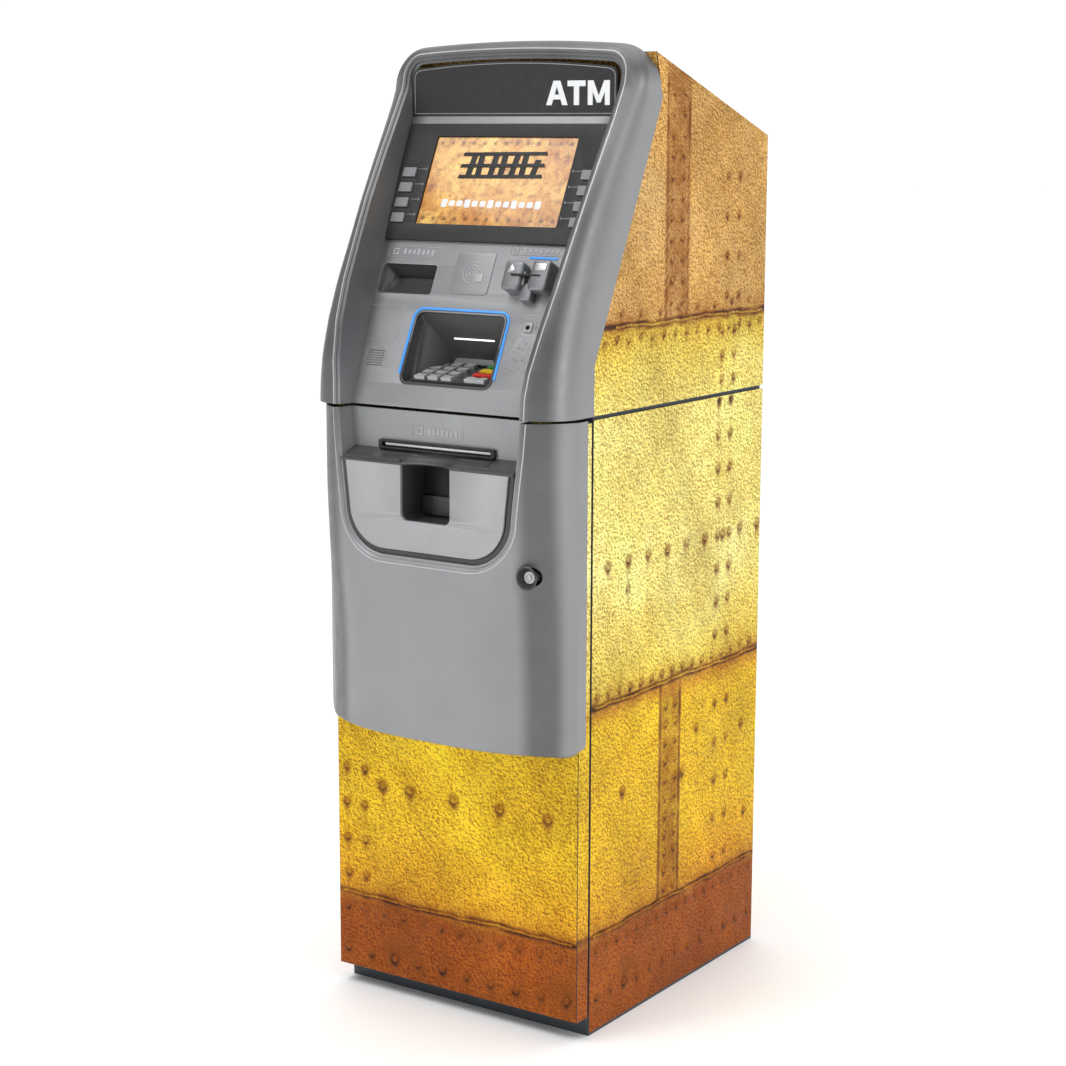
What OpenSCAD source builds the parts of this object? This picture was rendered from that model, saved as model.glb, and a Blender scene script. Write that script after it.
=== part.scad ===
// Free-standing cash machine: a safe below, a leaning operating head above,
// and two moulded fascias that swing open on the left-hand side.
// X runs to the right, Y to the back, Z up. The origin is on the floor, under
// the middle of the cabinet's footprint. All sizes are in millimetres.

/* [Cabinet] */
// Width of the cabinet and its front panel
cabinet_w = 381; // [370:1:480]
// Depth of the cabinet, front plane to back
cabinet_d = 429; // [400:1:560]
// Height of the safe from the floor to its top plate
safe_h = 789; // [760:1:960]
// Thickness of the safe's steel
safe_wall = 6; // [4:0.5:10]
// Thickness of the head's sheet
head_wall = 2.5; // [1.5:0.5:4]
// Height of the dark collar between safe and head
collar_h = 8; // [5:1:12]
// Height of the head above the collar, at its front
head_h = 435; // [425:1:530]
// Slope of the roof towards the back
roof_slope = 19.2; // [10:0.1:22]
// Width of the flange each side of the door and the head's mouth
flange_w = 22; // [20:1:24]
// Height of the base below the front panel
plinth_h = 26; // [20:1:34]

/* [Fascia] */
// Lean of the head's front edge from the vertical
lean = 25.5; // [24:0.1:27]
// Height of the upright part of the head's front edge
bend_h = 59; // [50:1:66]
// Wall of the moulded fascias
fascia_wall = 3; // [2:0.5:3.5]
// How far the fascias overhang the cabinet on each side
fascia_lap = 3; // [3:0.1:3.5]
// Gap between a hinged front's back edge and the cabinet
rear_gap = 3; // [2.5:0.5:3]
// How far the front panel stands in front of the cabinet
panel_out = 28; // [24:1:34]
// Thickness of the front panel's sheet
panel_wall = 1.5; // [1:0.1:2]
// How far behind the front panel's face the lower fascia reaches
panel_lap = 12; // [6:1:14]
// Gap between the upper and the lower fascia
seam_gap = 4; // [4:0.5:6]
// Height of the lower fascia
lower_h = 419; // [380:1:500]
// How far the console plane stands in front of the cabinet at its foot
console_out = 60; // [56:1:64]
// How far the rims stand in front of the cabinet at the seam
rim_out = 88; // [84:1:94]
// Rim width at the seam
rim_w_low = 50; // [46:1:56]
// Rim width at the sign
rim_w_high = 25; // [23:1:30]

/* [Console] */
// Width of the display's visible area
lcd_w = 217; // [180:1:225]
// Height of the display's visible area
lcd_h = 121; // [100:1:126]
// Width of the keypad opening
hood_w = 142; // [136:1:150]
// Height of the keypad opening, along the console
hood_l = 100; // [95:1:106]
// Depth of the keypad opening behind the console
hood_depth = 62; // [56:1:70]
// Width of a number key
key_w = 15; // [12:0.5:17]
// Depth of a keypad key, front to back
key_l = 11; // [9:0.5:13]
// Width of the wide keys on the right
wide_key_w = 30; // [24:1:32]
// Sideways pitch of the number keys
key_pitch = 20.5; // [18:0.5:21]
// Pitch of the keypad rows
row_pitch = 16.8; // [15:0.2:17.5]
// Travel of every key
key_travel = 1.5; // [1:0.1:2]
// Width of the receipt mouth
receipt_w = 87; // [80:1:94]
// Width of the note slot
note_slot_w = 178; // [170:1:200]
// Width of the opening in the note pocket
pocket_w = 80; // [70:1:100]

/* [Hinges and locks] */
// Radius of the hinge pins
pin_r = 2.5; // [2:0.25:3]
// Running clearance of every pin, shaft and bolt, on the radius
run_gap = 0.05; // [0.02:0.01:0.1]
// Throw of the locking bolts
bolt_throw = 18; // [12:1:18]
// Radius of a locking bolt
bolt_r = 8; // [6:0.5:9]
// Thickness of the safe door
door_t = 12; // [8:1:14]
// Radius of the holes for the floor anchors
anchor_r = 7; // [5:0.5:9]
// Sideways spacing of the floor anchors
anchor_dx = 300; // [240:1:320]
// Front to back spacing of the floor anchors
anchor_dy = 320; // [260:1:330]
// Radius of the headphone socket
jack_r = 1.75; // [1.5:0.05:3.2]

/* [Hidden] */
$fn = 48;
eps = 0.5;
far = 2000;

// Heights
half_w = cabinet_w / 2;
fascia_half = half_w + fascia_lap;
head_z = safe_h + collar_h;
bend_z = head_z + bend_h;
top_z = head_z + head_h;
return_h = 58;
return_y = 14;
seam_z = safe_h + collar_h / 2;
upper_z = seam_z + seam_gap / 2;
lower_top = seam_z - seam_gap / 2;
lower_z = lower_top - lower_h;

// Front edge of the head: upright to the bend, then leaning back
function lean_y(z) = max(0, (z - bend_z) * tan(lean));
corner_z = top_z - return_h;
roof_y = lean_y(corner_z) - return_y;
nose_s = (corner_z - bend_z) / cos(lean) + 3;
nose_relief = 8;
function roof_z(y) = top_z - (y - roof_y) * tan(roof_slope);

// Console plane, parallel to the head's leaning edge
console_lean = 25;
console_z = upper_z + 2;
function console_y(z) = -console_out + max(0, z - console_z) * tan(console_lean);
function console_s(z) = (z - console_z) / cos(console_lean);
screen_low = 220;
screen_high = 381;
sign_low_z = console_z + 357;
sign_top_z = console_z + 416;
sign_t = 4;
rim_top_z = console_z + 425;
fascia_top_z = top_z + 8;
corner_r = 46;

// Half-width of the recess between the rims, at height z
function recess_half(z) = fascia_half - rim_w_low
    + (rim_w_low - rim_w_high) * min(1, max(0, (z - seam_z - 25) / 300));

// Hinge: a vertical axis for the lower fascia and the door, a leaning one above
low_hinge_x = -half_w + 6.5;
high_hinge_x = -fascia_half + 8;
hinge_n = 14;
hinge_in = -6;
knuckle_r = 4.5;
knuckle_h = 14;
knuckle_step = 15;
hinge_low = [lower_z + 34, lower_top - 86];
hinge_high = [70, 300];
door_gap = 2;
door_half = half_w - flange_w - door_gap;
door_low = plinth_h + safe_wall + 2;
door_high = safe_h - 16;

// Note path
slot_z = seam_z - 46;
shelf_z = slot_z - 16;
shelf_out = rim_out - 1;
bolt_y = door_t + 19;
bolt_gap = 6;
bolt_zs = [door_low + 130, (door_low + door_high) / 2 - 40, door_high - 150];
handle_z = lower_z + 75;
dial_z = handle_z + 100;

// Everything is drawn from the cabinet's front plane and then centred
module placed() { translate([0, -cabinet_d / 2, 0]) children(); }
// A solid that runs sideways, from an outline of [y, z] points
module sideways(half, outline) {
    rotate([90, 0, 90]) translate([0, 0, -half]) linear_extrude(2 * half) polygon(outline);
}
// Local frame of the console: x, up along the plane, out towards the user
module on_console(x, s, n = 0) {
    translate([0, -console_out, console_z]) rotate([90 - console_lean, 0, 0]) translate([x, s, n])
        children();
}
// Local frame of the head's leaning edge: x, back from the plane, up along it
module on_lean() { translate([0, 0, bend_z]) rotate([-lean, 0, 0]) children(); }
module plate(w, l, r) {
    translate([-w / 2 + r, -l / 2]) square([w - 2 * r, l]);
    translate([-w / 2, -l / 2 + r]) square([w, l - 2 * r]);
    for (sx = [-1, 1], sy = [-1, 1]) translate([sx * (w / 2 - r), sy * (l / 2 - r)]) circle(r);
}
module slab(w, l, r, low, high) { translate([0, 0, low]) linear_extrude(high - low) plate(w, l, r); }

// ---------------------------------------------------------------- hinges
module knuckle(z, r = knuckle_r) { translate([0, 0, z]) cylinder(r = r, h = knuckle_h); }
module knuckle_bore(z) {
    translate([0, 0, z - eps]) cylinder(r = pin_r + run_gap, h = knuckle_h + 2 * eps);
}
// Fixed leaf: from the cabinet's flange, forward and round to the pin
module fixed_leaf(z) {
    difference() {
        union() {
            knuckle(z);
            translate([0, -2.5, z]) cube([17, 5, knuckle_h]);
            translate([13, -2.5, z]) cube([4, hinge_n + 2.5, knuckle_h]);
        }
        knuckle_bore(z);
    }
}
// Moving leaf of a front: from the pin to the side wall
module side_leaf(z) {
    difference() {
        union() {
            knuckle(z);
            translate([hinge_in, -12, z]) cube([-hinge_in, 12, knuckle_h]);
        }
        knuckle_bore(z);
    }
}
module low_hinge() { translate([low_hinge_x, -hinge_n, 0]) children(); }
module high_hinge() { on_lean() translate([high_hinge_x, -hinge_n, 0]) children(); }

module hinge_pins() {
    color("silver") placed() {
        low_hinge() for (z = hinge_low) pin(z, 4);
        high_hinge() for (s = hinge_high) pin(s, 3);
    }
}
module pin(z, knuckles) {
    length = knuckles * knuckle_step;
    translate([0, 0, z - 1]) cylinder(r = pin_r, h = length + 2);
    translate([0, 0, z + length]) cylinder(r = pin_r + 1.2, h = 2);
}

// --------------------------------------------------------------- cabinet
module safe_cabinet() {
    inner = half_w - safe_wall;
    mouth = half_w - flange_w;
    color("goldenrod") placed() {
        difference() {
            translate([-half_w, 0, 0]) cube([cabinet_w, cabinet_d, safe_h]);
            translate([-inner, safe_wall, plinth_h + safe_wall])
                cube([2 * inner, cabinet_d - 2 * safe_wall, safe_h - plinth_h - 2 * safe_wall]);
            translate([-inner, safe_wall, -eps])
                cube([2 * inner, cabinet_d - 2 * safe_wall, plinth_h + eps]);
            translate([-mouth, -eps, plinth_h + safe_wall])
                cube([2 * mouth, safe_wall + 2 * eps, safe_h - plinth_h - safe_wall - 14]);
            translate([-inner, -eps, -eps]) cube([2 * inner, safe_wall + 2 * eps, plinth_h + eps]);
            anchors() cylinder(r = anchor_r, h = plinth_h + 2 * safe_wall);
            translate([0, cabinet_d * 0.6, safe_h - safe_wall - eps]) cylinder(r = 24, h = 3 * safe_wall);
        }
        low_hinge() for (z = hinge_low, k = [0, 3]) fixed_leaf(z + k * knuckle_step);
    }
}
module anchors() {
    for (sx = [-1, 1], sy = [-1, 1])
        translate([sx * anchor_dx / 2, cabinet_d / 2 + sy * anchor_dy / 2, -eps]) children();
}
module base_plinth() {
    half = half_w - safe_wall - 0.5;
    back = cabinet_d - safe_wall - 1;
    color("dimgray") placed() difference() {
        translate([-half, 0, 0]) cube([2 * half, back, plinth_h - 0.5]);
        translate([-half + 40, 40, -eps]) cube([2 * half - 80, back - 80, plinth_h - 3.5 + eps]);
        anchors() cylinder(r = anchor_r, h = 3 * plinth_h);
    }
}
module seam_collar() {
    inset = 3;
    color("dimgray") placed() difference() {
        translate([-half_w + inset, inset, safe_h])
            cube([cabinet_w - 2 * inset, cabinet_d - 2 * inset, collar_h]);
        translate([-half_w + inset + 12, inset + 12, safe_h - eps])
            cube([cabinet_w - 2 * inset - 24, cabinet_d - 2 * inset - 24, collar_h + 2 * eps]);
    }
}
module top_cabinet() {
    w = head_wall;
    slant = w / cos(lean);
    mouth = half_w - flange_w;
    outline = [[0, head_z], [0, bend_z], [lean_y(corner_z), corner_z], [roof_y, top_z],
        [cabinet_d, roof_z(cabinet_d)], [cabinet_d, head_z]];
    hollow = [[w, head_z + w], [w, bend_z], [lean_y(corner_z) + slant, corner_z],
        [roof_y + slant, roof_z(roof_y + slant) - 1.1 * w],
        [cabinet_d - w, roof_z(cabinet_d - w) - 1.1 * w], [cabinet_d - w, head_z + w]];
    color("goldenrod") placed() {
        difference() {
            sideways(half_w, outline);
            sideways(half_w - w, hollow);
            // the mouth behind the fascia
            sideways(mouth, [[-eps, head_z + 16], [-eps, bend_z], [lean_y(corner_z) - 1, corner_z + 10],
                [lean_y(corner_z) + 12, corner_z + 10], [12, bend_z], [12, head_z + 16]]);
            // cable passage down into the safe
            translate([0, cabinet_d * 0.6, head_z - eps]) cylinder(r = 24, h = 3 * w);
            // louvres and the cable inlet in the back
            for (i = [0:7], sx = [-1, 1])
                translate([sx * 80 - 45, cabinet_d - 2 * w, head_z + 120 + i * 14]) cube([90, 4 * w, 5]);
            translate([0, cabinet_d + eps, head_z + 60]) rotate([90, 0, 0]) cylinder(r = 16, h = 3 * w);
        }
        high_hinge() for (s = hinge_high, k = [0, 2]) fixed_leaf(s + k * knuckle_step);
    }
}
module cable_grommet() {
    color("black") placed() translate([0, cabinet_d, head_z + 60]) rotate([90, 0, 0]) difference() {
        union() {
            translate([0, 0, -2.5]) cylinder(r = 20, h = 2.5);
            translate([0, 0, -eps]) cylinder(r = 15.9, h = head_wall + 3);
            translate([0, 0, head_wall + 0.1]) cylinder(r = 18, h = 2.5);
        }
        translate([0, 0, -5]) cylinder(r = 11, h = 20);
    }
}

// --------------------------------------------------- inside the head
module control_computer() {
    y = cabinet_d - head_wall - 6 - 150;
    color("lightgray") placed() difference() {
        translate([-160, y, head_z + head_wall]) cube([190, 120, 210]);
        for (i = [0:9]) translate([-140 + i * 16, y - eps, head_z + 40]) cube([8, 4, 120]);
        translate([-160 - eps, y + 20, head_z + 150]) cube([4, 80, 20]);
    }
}
module power_supply() {
    y = cabinet_d - head_wall - 6 - 150;
    color("silver") placed() difference() {
        translate([50, y, head_z + head_wall]) cube([90, 120, 80]);
        for (i = [-2:2]) translate([95 + i * 12, y - eps, head_z + 25]) cube([6, 4, 40]);
        translate([95, y + 60, head_z + 60]) cylinder(r = 28, h = 40);
    }
}

// --------------------------------------------------- inside the safe
side_plate_x = 120;
roller_r = 14;
shaft_r = 5;
dispenser_y = 70;
dispenser_d = 250;
pick_z = slot_z - 60;
pick_y = dispenser_y + 60;
present_y = 50;
tray_t = 2;
module dispenser_frame() {
    foot_z = plinth_h + safe_wall;
    top = slot_z + 26;
    color("darkgray") placed() {
        for (sx = [-1, 1]) translate([sx * side_plate_x, 0, 0]) difference() {
            translate([-2, 44, 0]) rotate([90, 0, 90]) linear_extrude(4) polygon([
                [0, slot_z - 34], [0, top], [dispenser_y + dispenser_d - 44, top],
                [dispenser_y + dispenser_d - 44, foot_z], [60, foot_z], [60, slot_z - 140]]);
            shaft_hole(pick_y, pick_z);
            shaft_hole(present_y + 14, slot_z - 14);
            shaft_hole(present_y + 14, slot_z + 14);
        }
        for (sx = [-1, 1]) translate([sx * (side_plate_x - 11) - 9, 120, foot_z]) cube([18, 190, 3]);
        // tie bars and the shelf that carries the cassette
        for (p = [[dispenser_y + 230, slot_z + 5], [dispenser_y + 230, 200]])
            translate([-side_plate_x, p[0], p[1]]) rotate([0, 90, 0]) cylinder(r = 6, h = 2 * side_plate_x);
        translate([-side_plate_x, 108, slot_z - 226]) cube([2 * side_plate_x, 206, 4]);
    }
}
module shaft_hole(y, z) {
    translate([-10, y, z]) rotate([0, 90, 0]) cylinder(r = shaft_r + run_gap, h = 20);
}
module roller_shaft(y, z) {
    translate([0, y, z]) rotate([0, 90, 0]) {
        translate([0, 0, -side_plate_x - 8]) cylinder(r = shaft_r, h = 2 * side_plate_x + 16);
        for (x = [-70, -25, 25, 70]) translate([0, 0, x - 9]) cylinder(r = roller_r - 1, h = 18);
    }
}
module pick_rollers() { color("black") placed() roller_shaft(pick_y, pick_z); }
module presenter_rollers() { color("black") placed() roller_shaft(present_y + 14, slot_z - 14); }
cassette_y = 64;
module note_cassette() {
    z = slot_z - 221.7;
    color("steelblue") placed() difference() {
        translate([-92, cassette_y, z]) cube([184, 240, 138]);
        translate([-84, cassette_y + 10, z + 8]) cube([168, 222, 160]);
        translate([-30, cassette_y - eps, z + 50]) cube([60, 6, 26]);
    }
}

// -------------------------------------------------------------- the door
module safe_door() {
    color("goldenrod") placed() {
        difference() {
            translate([-door_half, 0, door_low]) cube([2 * door_half, door_t, door_high - door_low]);
            // slot for the notes
            translate([-note_slot_w / 2 - 6, -eps, slot_z - 12]) cube([note_slot_w + 12, door_t + 1, 24]);
            // spindles of the handle and of the dial
            for (z = [handle_z, dial_z])
                translate([0, -eps, z]) rotate([-90, 0, 0]) cylinder(r = 6 + run_gap, h = door_t + 1);
            // well for the handle and the dial, under the lower fascia
            translate([0, 0, handle_z]) rotate([-90, 0, 0]) translate([0, 0, -eps])
                cylinder(r = 20, h = 5.5);
        }
        low_hinge() for (z = hinge_low) door_leaf(z + 2 * knuckle_step);
        // case of the combination lock
        difference() {
            translate([-34, door_t - eps, dial_z - 24]) cube([68, 26, 90]);
            translate([0, door_t - 2 * eps, dial_z]) rotate([-90, 0, 0]) cylinder(r = 8, h = 6);
        }
        // guides of the locking bolts
        for (z = bolt_zs) difference() {
            translate([door_half - 56, door_t - eps, z - 14]) cube([20, 38 + eps, 28]);
            translate([door_half - 60, bolt_y, z]) rotate([0, 90, 0])
                cylinder(r = bolt_r + run_gap, h = 40);
        }
    }
}
module door_leaf(z) {
    difference() {
        union() {
            knuckle(z);
            translate([0, -2.5, z]) cube([32, 5, knuckle_h]);
            translate([19, -2.5, z]) cube([13, hinge_n + 2.5 + eps, knuckle_h]);
        }
        knuckle_bore(z);
    }
}
// Three bolts on one carrier bar; they stand withdrawn at rest
module locking_bolts() {
    color("silver") placed() {
        for (z = bolt_zs) translate([door_half - 96, bolt_y, z]) rotate([0, 90, 0])
            cylinder(r = bolt_r, h = 96 - bolt_gap);
        translate([door_half - 96 - 10, bolt_y - 6, bolt_zs[0] - 14])
            cube([14, 12, bolt_zs[2] - bolt_zs[0] + 28]);
    }
}
module safe_handle() {
    color("silver") placed() translate([0, 0, handle_z]) rotate([90, 0, 0]) {
        translate([0, 0, -door_t - 10]) cylinder(r = 6, h = door_t + 10 + 1);
        translate([0, 0, -4]) cylinder(r = 13, h = 5);
        translate([0, 0, 1]) difference() {
            union() {
                cylinder(r = 13, h = 5);
                for (a = [0, 120, 240]) rotate(a + 90) translate([0, -4, 0]) cube([44, 8, 5]);
            }
            for (a = [0, 120, 240]) rotate(a + 90) translate([38, 0, -1]) cylinder(r = 2, h = 8);
        }
        translate([0, 0, -door_t - 10]) rotate(180) translate([0, -4, 0]) cube([26, 8, 4]);
    }
}
module combination_dial() {
    color("black") placed() translate([0, 0, dial_z]) rotate([90, 0, 0]) {
        translate([0, 0, -door_t - 1]) cylinder(r = 6, h = door_t + 3);
        translate([0, 0, 1]) cylinder(r = 30, h = 4);
        difference() {
            translate([0, 0, 5]) cylinder(r = 16, h = 7);
            for (a = [0:30:359]) rotate(a) translate([16.5, 0, 4]) cylinder(r = 1.8, h = 10);
        }
    }
}
// Outer panel below and behind the lower fascia: a folded sheet, open at the back
module front_panel() {
    w = panel_wall;
    low = plinth_h;
    high = lower_top - 3;
    depth = panel_out - rear_gap;
    color("goldenrod") placed() {
        difference() {
            translate([-half_w, -panel_out, low]) cube([cabinet_w, depth, high - low]);
            translate([-half_w + w, -panel_out + w, low + w])
                cube([cabinet_w - 2 * w, depth, high - low - 2 * w]);
            translate([-note_slot_w / 2 - 4, -panel_out - eps, slot_z - 10])
                cube([note_slot_w + 8, w + 2 * eps, 20]);
            translate([lock_x, -panel_out - eps, lock_z]) rotate([-90, 0, 0]) cylinder(r = 9, h = 2 * w);
        }
        low_hinge() for (z = hinge_low) side_leaf(z + knuckle_step);
    }
}

// ---------------------------------------------------------- upper fascia
// Solid of the upper fascia; inset draws the space inside its wall
crest = [[0, 0], [25, 2], [55, 8], [105, 25], [155, 48], [205, 74], [255, 101], [305, 130],
    [355, 161], [405, 188], [425, 192]];
module upper_body(inset) {
    rear = inset > 0 ? 40 : -rear_gap;
    top = fascia_top_z - inset;
    z0 = upper_z - (inset > 0 ? eps : 0);
    front = [for (p = crest) [-rim_out + p[1] + inset * 1.1, max(z0, upper_z + p[0] - inset * 0.4)]];
    half = fascia_half - inset;
    intersection() {
        sideways(half, concat(front, [[roof_y - 26, top - 3], [roof_y - 22, top],
            [roof_y + rear, top], [lean_y(corner_z) + rear, corner_z],
            [rear, bend_z], [rear, z0]]));
        union() {
            translate([0, 0, z0]) linear_extrude(bend_h - seam_gap - 14) crown_section(inset, 400);
            on_lean() translate([0, 0, -60]) linear_extrude(head_h + 120) rim_section(inset);
        }
        front_outline(half, top, corner_r - inset);
    }
}
// Section of the leaning rims: a flat band at the side, then a rounded slope
rim_slope = [[0, 27], [3, 40], [8, 53], [16, 66], [26, 77]];
module rim_section(inset) {
    half = fascia_half - inset;
    left = [for (p = rim_slope) [-half + p[0], inset - p[1]]];
    right = [for (i = [len(left) - 1:-1:0]) [-left[i][0], left[i][1]]];
    polygon(concat([[-half, 400]], left, right, [[half, 400]]));
}
// Section of the upright parts: nearly flat in the middle, falling at the sides
crown_out = rim_out + 1;
crown_drop = 53;
crown_power = 12;
crown_steps = 24;
module crown_section(inset, rear) {
    half = fascia_half - inset;
    curve = [for (i = [-crown_steps:crown_steps]) let (t = i / crown_steps)
        [t * half, -crown_out + inset + crown_drop * pow(abs(t), crown_power)]];
    polygon(concat([[-half, rear]], curve, [[half, rear]]));
}
module front_outline(half, top, r) {
    translate([0, 400, 0]) rotate([90, 0, 0]) linear_extrude(800) {
        translate([-half, 0]) square([2 * half, top - r]);
        translate([-half + r, 0]) square([2 * half - 2 * r, top]);
        for (sx = [-1, 1]) translate([sx * (half - r), top - r]) circle(r);
    }
}
// The space between the rims, in front of the console and the sign
module upper_recess(grow) {
    g = grow;
    low = upper_z - 20;
    intersection() {
        sideways(fascia_half, [[-far, low], [-console_out + g, low], [-console_out + g, console_z],
            [console_y(sign_low_z) + g, sign_low_z - g],
            [console_y(sign_low_z) + g, rim_top_z + g], [-far, rim_top_z + g]]);
        translate([0, 400, 0]) rotate([90, 0, 0]) linear_extrude(far) polygon([
            [-recess_half(low) - g, low], [-recess_half(low) - g, seam_z + 25],
            [-recess_half(seam_z + 325) - g, seam_z + 325], [-recess_half(far) - g, rim_top_z - 12],
            [-recess_half(far) + 12 - g, rim_top_z + g], [recess_half(far) - 12 + g, rim_top_z + g],
            [recess_half(far) + g, rim_top_z - 12], [recess_half(seam_z + 325) + g, seam_z + 325],
            [recess_half(low) + g, seam_z + 25], [recess_half(low) + g, low]]);
    }
}
receipt_s = 168;
receipt_x = -100;
receipt_l = 42;
nfc_s = 179;
card_x = 84;
card_s = 172;
hood_s = 78;
jack_x = 103;
jack_s = 112;
speaker_x = -119;
speaker_s = 60;
lcd_s = 303;
fkey_w = 20;
fkey_l = 12.5;
fkey_x = 137.5;
fkey_pitch = 21;
fkey_s = lcd_s - 22;
fit = 0.3;
module upper_fascia() {
    color("darkgray") placed() difference() {
        union() {
            difference() {
                upper_body(0);
                upper_recess(0);
                difference() {
                    upper_body(fascia_wall);
                    upper_recess(fascia_wall);
                }
            }
            high_hinge() for (s = hinge_high) side_leaf(s + knuckle_step);
        }
        // relief in the left wall, so that it clears the head's nose as it swings
        on_lean() translate([-fascia_half - eps, -hinge_n - nose_relief, nose_s])
            cube([fascia_lap + 2 * eps, 60, 30]);
        // openings for the modules
        on_console(0, (screen_low + screen_high) / 2)
            slab(2 * screen_half - 14, screen_high - screen_low - 16, 4, -12, 4);
        on_console(receipt_x, receipt_s) slab(receipt_w, receipt_l, 4, -12, 4);
        on_console(0, nfc_s) slab(54, 54, 4, -12, 4);
        on_console(card_x, card_s) slab(60, 34, 4, -12, 4);
        on_console(0, hood_s) slab(hood_w + 2 * fit, hood_l + 2 * fit, 12, -12, 4);
        on_console(jack_x, jack_s) translate([0, 0, -12]) cylinder(r = 6 + fit, h = 20);
        for (i = [-3:3], j = [-2:2]) on_console(speaker_x + i * 4, speaker_s + j * 4 + (i % 2) * 2)
            translate([0, 0, -8]) cylinder(r = 0.9, h = 16, $fn = 16);
    }
}
module sign_panel() {
    half = recess_half(far) - 0.8;
    y = console_y(sign_low_z) - 0.05;
    color("black") placed() translate([0, y, 0]) rotate([90, 0, 0]) linear_extrude(sign_t) {
        translate([-half, sign_low_z]) square([2 * half, sign_top_z - sign_low_z - 12]);
        translate([-half + 12, sign_low_z]) square([2 * half - 24, sign_top_z - sign_low_z]);
        for (sx = [-1, 1]) translate([sx * (half - 12), sign_top_z - 12]) circle(12);
    }
}
screen_half = fascia_half - rim_w_high - 12;
module screen_bezel() {
    color("black") placed() difference() {
        on_console(0, (screen_low + screen_high) / 2)
            slab(2 * screen_half, screen_high - screen_low, 3, 0, 4);
        on_console(0, lcd_s) slab(lcd_w, lcd_h, 1, -2, 8);
        for (sx = [-1, 1], i = [0:3]) on_console(sx * fkey_x, fkey_s + (i - 1.5) * fkey_pitch)
            slab(fkey_w + 2 * fit, fkey_l + 2 * fit, 1, -2, 8);
    }
}
module lcd_panel() {
    color("orange") placed() {
        on_console(0, lcd_s) slab(lcd_w - 0.6, lcd_h - 0.6, 0.8, -8, 1.5);
        on_console(0, lcd_s) translate([-lcd_w / 2 - 8, -lcd_h / 2 - 6, -14])
            cube([lcd_w + 16, lcd_h + 12, 6.5]);
    }
}
module function_key(side, i) {
    color("silver") placed() on_console(side * fkey_x, fkey_s + (2.5 - i) * fkey_pitch) {
        slab(fkey_w, fkey_l, 1, 0.5 - key_travel, 6);
        slab(6, 6, 1, -6, 0.6 - key_travel);
    }
}
module receipt_chute() {
    w = receipt_w - 2 * fit;
    l = receipt_l - 2 * fit;
    color("dimgray") placed() on_console(receipt_x, receipt_s) difference() {
        slab(w, l, 4, -34, 0);
        slab(w - 4, l - 4, 3, -22, 1);
        translate([-34, 6, -40]) cube([68, 6, 30]);
    }
}
printer_n = -35;
module receipt_printer() {
    color("gray") placed() on_console(receipt_x, receipt_s + 4) difference() {
        translate([-45, -25, printer_n - 22]) cube([90, 50, 22]);
        translate([-34, 2, printer_n - 30]) cube([68, 6, 40]);
        for (x = [-38, 38], y = [-18, 18]) translate([x, y, printer_n - 4]) cylinder(r = 2, h = 8);
    }
    color("gray") placed() on_console(receipt_x, receipt_s + 4) {
        for (sx = [-1, 1]) translate([sx * 42 - 1.5, -18, printer_n - 82]) difference() {
            cube([3, 36, 61]);
            translate([-1, 18, 30]) rotate([0, 90, 0]) cylinder(r = 4 + run_gap, h = 5);
        }
    }
}
module paper_roll() {
    color("white") placed() on_console(receipt_x, receipt_s + 4)
        translate([0, 0, printer_n - 52]) rotate([0, 90, 0]) {
            translate([0, 0, -28 - eps]) difference() {
                cylinder(r = 26, h = 57);
                translate([0, 0, -1]) cylinder(r = 12, h = 8);
            }
            translate([0, 0, -47]) cylinder(r = 4, h = 94);
        }
}
module contactless_reader() {
    color("silver") placed() on_console(0, nfc_s) {
        slab(58, 58, 4, 0, 1.2);
        slab(53.4, 53.4, 4, -10, 0);
    }
}
// Two horn-shaped lobes each side of the card slot, on a common base
module card_reader_bezel() {
    color("silver") placed() on_console(card_x, card_s) difference() {
        union() {
            slab(84, 44, 5, 0, 5);
            for (sx = [-1, 1]) translate([sx * 29.5, 2, 0]) slab(25, 38, 5, 0, 26);
            translate([0, -22, 0]) slab(24, 20, 3, 0, 8);
        }
        translate([-28, -1.5, -5]) cube([56, 3, 60]);
        slab(34, 20, 3, 4, 60);
    }
}
module card_reader() {
    color("gray") placed() on_console(card_x, card_s) difference() {
        translate([-29.4, -16, -60]) cube([58.8, 32, 59.5]);
        translate([-28, -1.5, -50]) cube([56, 3, 60]);
        translate([-20, 14, -50]) cube([40, 3, 40]);
    }
}
// Keypad hood: a wedge-shaped well; floor and back wall meet at the deep edge
pad_tilt = 12;
hood_t = 2.5;
function hood_lip() = console_z + (hood_s - hood_l / 2 + 4) * cos(console_lean);
module on_keypad() {
    translate([4, -console_out + 24, hood_lip() + 5.2]) rotate([pad_tilt, 0, 0]) children();
}
module keypad_hood() {
    w = hood_w;
    l = hood_l;
    color("dimgray") placed() difference() {
        union() {
            on_console(0, hood_s) slab(w, l, 12, -8, 0.8);
            difference() {
                sideways(w / 2 - 1, hood_wedge(hood_t));
                on_console(0, 0) translate([-w, -200, -3]) cube([2 * w, 500, 200]);
            }
        }
        intersection() {
            on_console(0, hood_s) slab(w - 8, l - 8, 8, -hood_depth - 60, 2);
            sideways(w / 2 - 4, hood_wedge(0));
        }
    }
}
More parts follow.
